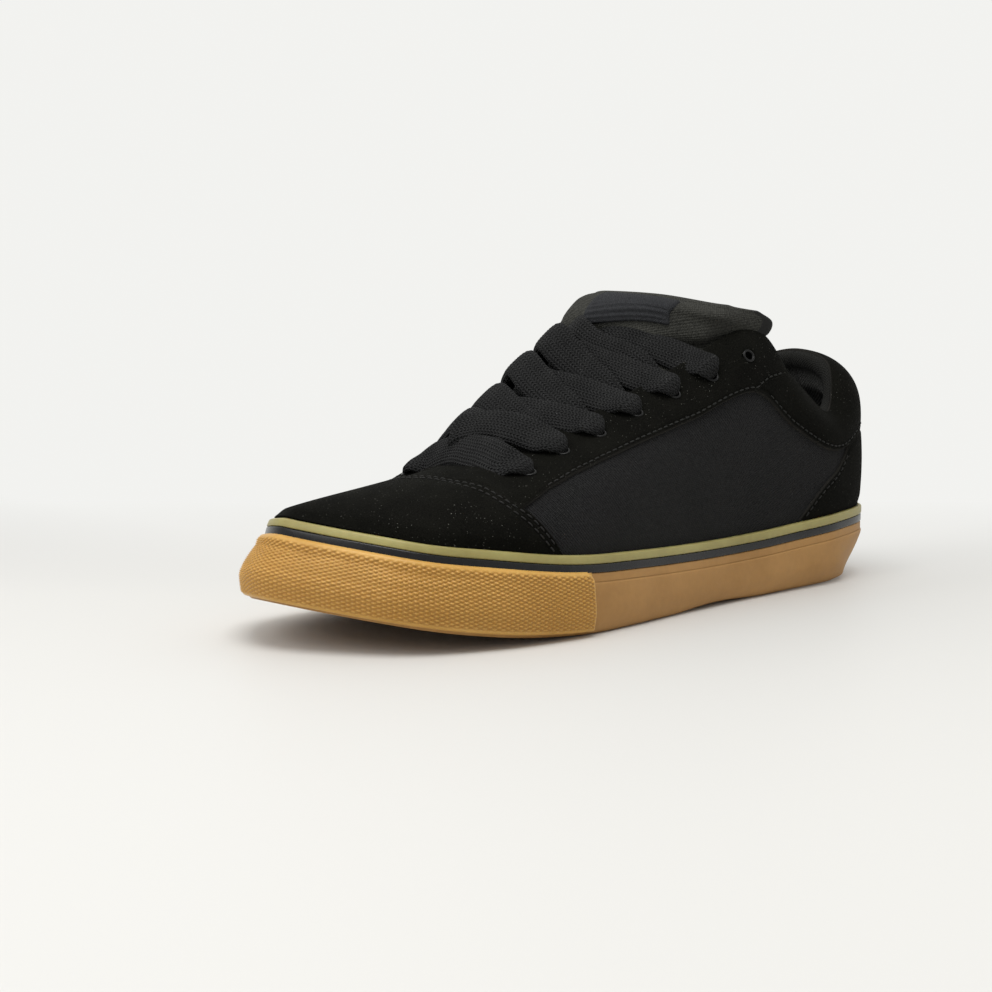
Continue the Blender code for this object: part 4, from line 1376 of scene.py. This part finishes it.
def lace_half(side_sign):
    """Knots from the first bar's middle to the top eyelet, starting towards one side."""
    knots = lace_first(side_sign)
    flip = -1
    for k in range(LACED_PAIRS - 1):
        seat, out = eyelet_at(k, side_sign)
        bar = lace_bar(k, side_sign)
        back = seat - out * (WALL + SUEDE + BACK_DEPTH) + unit(bar[0][0] - seat) * BACK_AHEAD
        knots.append((back, -out, BACK_WIDTH, FLAP_HEIGHT))
        for spot, normal, width, height in bar:
            knots.append((spot, normal * flip, width, height))
        side_sign = -side_sign
        flip = -flip
    return knots


def rounded_wave(wave):
    """Sine or cosine drawn towards the corners of a rounded rectangle."""
    return np.sign(wave) * np.abs(wave) ** (2 / SECTION_POWER)


def lace_section():
    """Unit section of the flat braid, evenly spaced round its edge, and the run of the weave
    round it."""
    half = np.array((LACE_WIDTH / 2, LACE_HEIGHT / 2))
    angle = np.linspace(0, 2 * np.pi, SECTION_SAMPLES, endpoint=False)
    loop = np.stack([rounded_wave(np.cos(angle)), rounded_wave(np.sin(angle))], -1) * half
    loop = np.concatenate([loop, loop[:1]])
    run = run_length(loop, 0)
    ribs = round(run[-1] / RIB_PITCH)
    spots = np.linspace(0, run[-1], ribs * RIB_POINTS, endpoint=False)
    loop = np.stack([np.interp(spots, run, loop[:, k]) for k in (0, 1)], -1)
    rib = RIB_HEIGHT * (np.abs(np.sin(np.pi * spots / run[-1] * ribs)) - RIB_MIDDLE)
    loop = loop + unit(loop / half**2) * rib[:, None]
    return loop / half, spots * ribs * RIB_PITCH / run[-1]


def make_lace():
    """Flat braid through all laced eyelets, with its ribs."""
    knots = lace_half(-1)[::-1] + lace_half(1)
    spots, normals = (np.array([knot[i] for knot in knots]) for i in (0, 1))
    sizes = np.array([knot[2:] for knot in knots], float)
    dense = np.linspace(0, len(knots) - 1, len(knots) * PATH_SAMPLES)
    run = run_length(along_open(spots, dense), 0)
    places = np.interp(np.linspace(0, run[-1], int(run[-1] / LACE_STEP)), run, dense)
    path = along_open(spots, places)
    size = np.clip(along_open(sizes, places), LACE_LEAST, None)
    run = run_length(path, 0)
    tangent = unit(np.gradient(path, axis=0))
    across = unit(np.cross(unit(along_open(normals, places)), tangent))
    normal = unit(np.cross(tangent, across))
    wander = WANDER * np.sin(run / WANDER_RUN) * smooth_step((size[:, 0] - WANDER_WIDTH) / WANDER_FADE)
    loop, round_run = lace_section()
    width = size[:, :1] / 2 * (1 + SWELL * np.sin(run / SWELL_RUN))[:, None]
    grid = (path + across * wander[:, None])[:, None] + across[:, None] * (loop[:, 0] * width)[..., None]
    grid = grid + normal[:, None] * (loop[:, 1] * size[:, 1:] / 2)[..., None]
    rows, columns = grid.shape[:2]
    faces = [grid_faces(rows, columns, False, True)]
    for base in (0, (rows - 1) * columns):
        ring = base + np.arange(columns)
        half = columns // 2 + 1
        cap = strip_faces(ring[:half], np.roll(ring[::-1], 1)[:half])
        faces.append(cap[:, ::-1] if base else cap)
    uv = np.stack(np.broadcast_arrays(run[:, None], round_run[None]), -1)
    make_piece("lace_braid", grid, np.concatenate(faces), MATERIALS["lace"], uv, ("lace",))


# Light, floor and camera

# Camera fitted to the photo: eye, turn and rise in degrees, and focal length in the photo's pixels
CAMERA_EYE = np.array([723.5, 568.1, 139.1])
CAMERA_TURN = np.radians((47.301, 6.891))
CAMERA_FOCUS_PX = 2074.3
IMAGE_SIZE_PX = 992
SENSOR = 36.0

# The rest is in metres
LIGHTS = (
    # name, place, size, power, colour
    ("top_softbox", (0.3, 0.2, 1.25), 0.8, 10.3, (1, 0.99, 0.97)),
    ("front_softbox", (1.2, -0.2, 0.95), 0.8, 5, (1, 1, 1)),
)
LIGHT_AIM = Vector((0, 0, 0.05))
PAPER = (1.0, 1.0, 0.975)
FLOOR = (0.67, 0.665, 0.65)
FLOOR_REACH = 6.0
# Direction of the bright paper behind the shoe, and the levels along and against it
BEHIND = (-0.68, -0.73, 0.0)
PAPER_LEVELS = {"From Min": -0.5, "From Max": 0.75, "To Min": 0.5, "To Max": 0.89}
# Distances over which the floor runs into the glowing paper, behind the shoe and all round; behind, the
# glow starts close to the shoe and paints light over the shadow the shoe casts there
FADE_BEHIND = (0.02, 0.32)
FADE_ROUND = (0.9, 2.4)


def link(name, data):
    thing = bpy.data.objects.new(name, data)
    bpy.context.scene.collection.objects.link(thing)
    return thing


def look_along(way):
    return way.to_track_quat("-Z", "Y").to_euler()


def make_camera():
    turn, rise = CAMERA_TURN
    data = bpy.data.cameras.new("camera")
    data.sensor_width = SENSOR
    data.lens = CAMERA_FOCUS_PX / IMAGE_SIZE_PX * SENSOR
    camera = link("camera", data)
    camera.location = Vector((CAMERA_EYE - BOX_MIDDLE) * MM)
    camera.rotation_euler = look_along(
        -Vector((np.cos(turn) * np.cos(rise), np.sin(turn) * np.cos(rise), np.sin(rise))))
    bpy.context.scene.camera = camera


def backdrop_level(tree, way):
    """Brightness of the paper backdrop by direction: bright behind the shoe, dimmer opposite."""
    dot = tree.nodes.new("ShaderNodeVectorMath")
    dot.operation = "DOT_PRODUCT"
    tree.links.new(way, dot.inputs[0])
    dot.inputs[1].default_value = BEHIND
    level = tree.nodes.new("ShaderNodeMapRange")
    tree.links.new(dot.outputs["Value"], level.inputs["Value"])
    for socket, value in PAPER_LEVELS.items():
        level.inputs[socket].default_value = value
    return level.outputs[0]


def floor_material():
    """White floor that runs into the paper backdrop without a line; there it glows like the paper, and
    close behind the shoe this glow is painted light over the shoe's shadow.
    """
    g = Graph("pale_floor")
    g.finish(Base_Color=FLOOR, Roughness=0.55, Specular_IOR_Level=0.3)
    length = g.add("ShaderNodeVectorMath", {0: g.place}, operation="LENGTH").outputs["Value"]
    way = g.add("ShaderNodeVectorMath", {0: g.place}, operation="NORMALIZE").outputs["Vector"]
    glow = g.add("ShaderNodeEmission", {"Color": PAPER, "Strength": backdrop_level(g.tree, way)})
    behind = g.add("ShaderNodeVectorMath", {0: g.place, 1: BEHIND}, operation="DOT_PRODUCT")
    fade = g.math("MAXIMUM", g.ramp(behind.outputs["Value"], *FADE_BEHIND), g.ramp(length, *FADE_ROUND))
    mix = g.add("ShaderNodeMixShader", {0: fade})
    g.feed(mix.inputs[1], g.shader.outputs[0])
    g.feed(mix.inputs[2], glow.outputs[0])
    g.feed(g.tree.nodes["Material Output"].inputs["Surface"], mix.outputs[0])
    return g.material


def make_stage():
    corners = [(x * FLOOR_REACH, y * FLOOR_REACH, 0) for x, y in ((-1, -1), (1, -1), (1, 1), (-1, 1))]
    floor_mesh = bpy.data.meshes.new("floor")
    floor_mesh.from_pydata(corners, [], [(0, 1, 2, 3)])
    floor_mesh.materials.append(floor_material())
    floor = link("floor", floor_mesh)
    for name, place, size, power, colour in LIGHTS:
        data = bpy.data.lights.new(name, "AREA")
        data.size = size
        data.energy = power
        data.color = colour
        light = link(name, data)
        light.location = place
        light.rotation_euler = look_along(LIGHT_AIM - light.location)
    world = bpy.data.worlds.new("studio")
    world.use_nodes = True
    tree = world.node_tree
    way = tree.nodes.new("ShaderNodeTexCoord").outputs["Generated"]
    tree.links.new(backdrop_level(tree, way), tree.nodes["Background"].inputs["Strength"])
    tree.nodes["Background"].inputs["Color"].default_value = (*PAPER, 1)
    bpy.context.scene.world = world
    bpy.context.scene.view_settings.view_transform = "Standard"


make_camera()
make_stage()
make_outsole()
make_foxing()
make_bumper()
make_quarter()
make_lining()
make_panels()
make_all_stitches()
make_eyelets()
make_tongue()
make_label()
make_lace()
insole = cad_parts["insole"]
for material_slot in insole.material_slots:
    material_slot.material = MATERIALS["insole"]
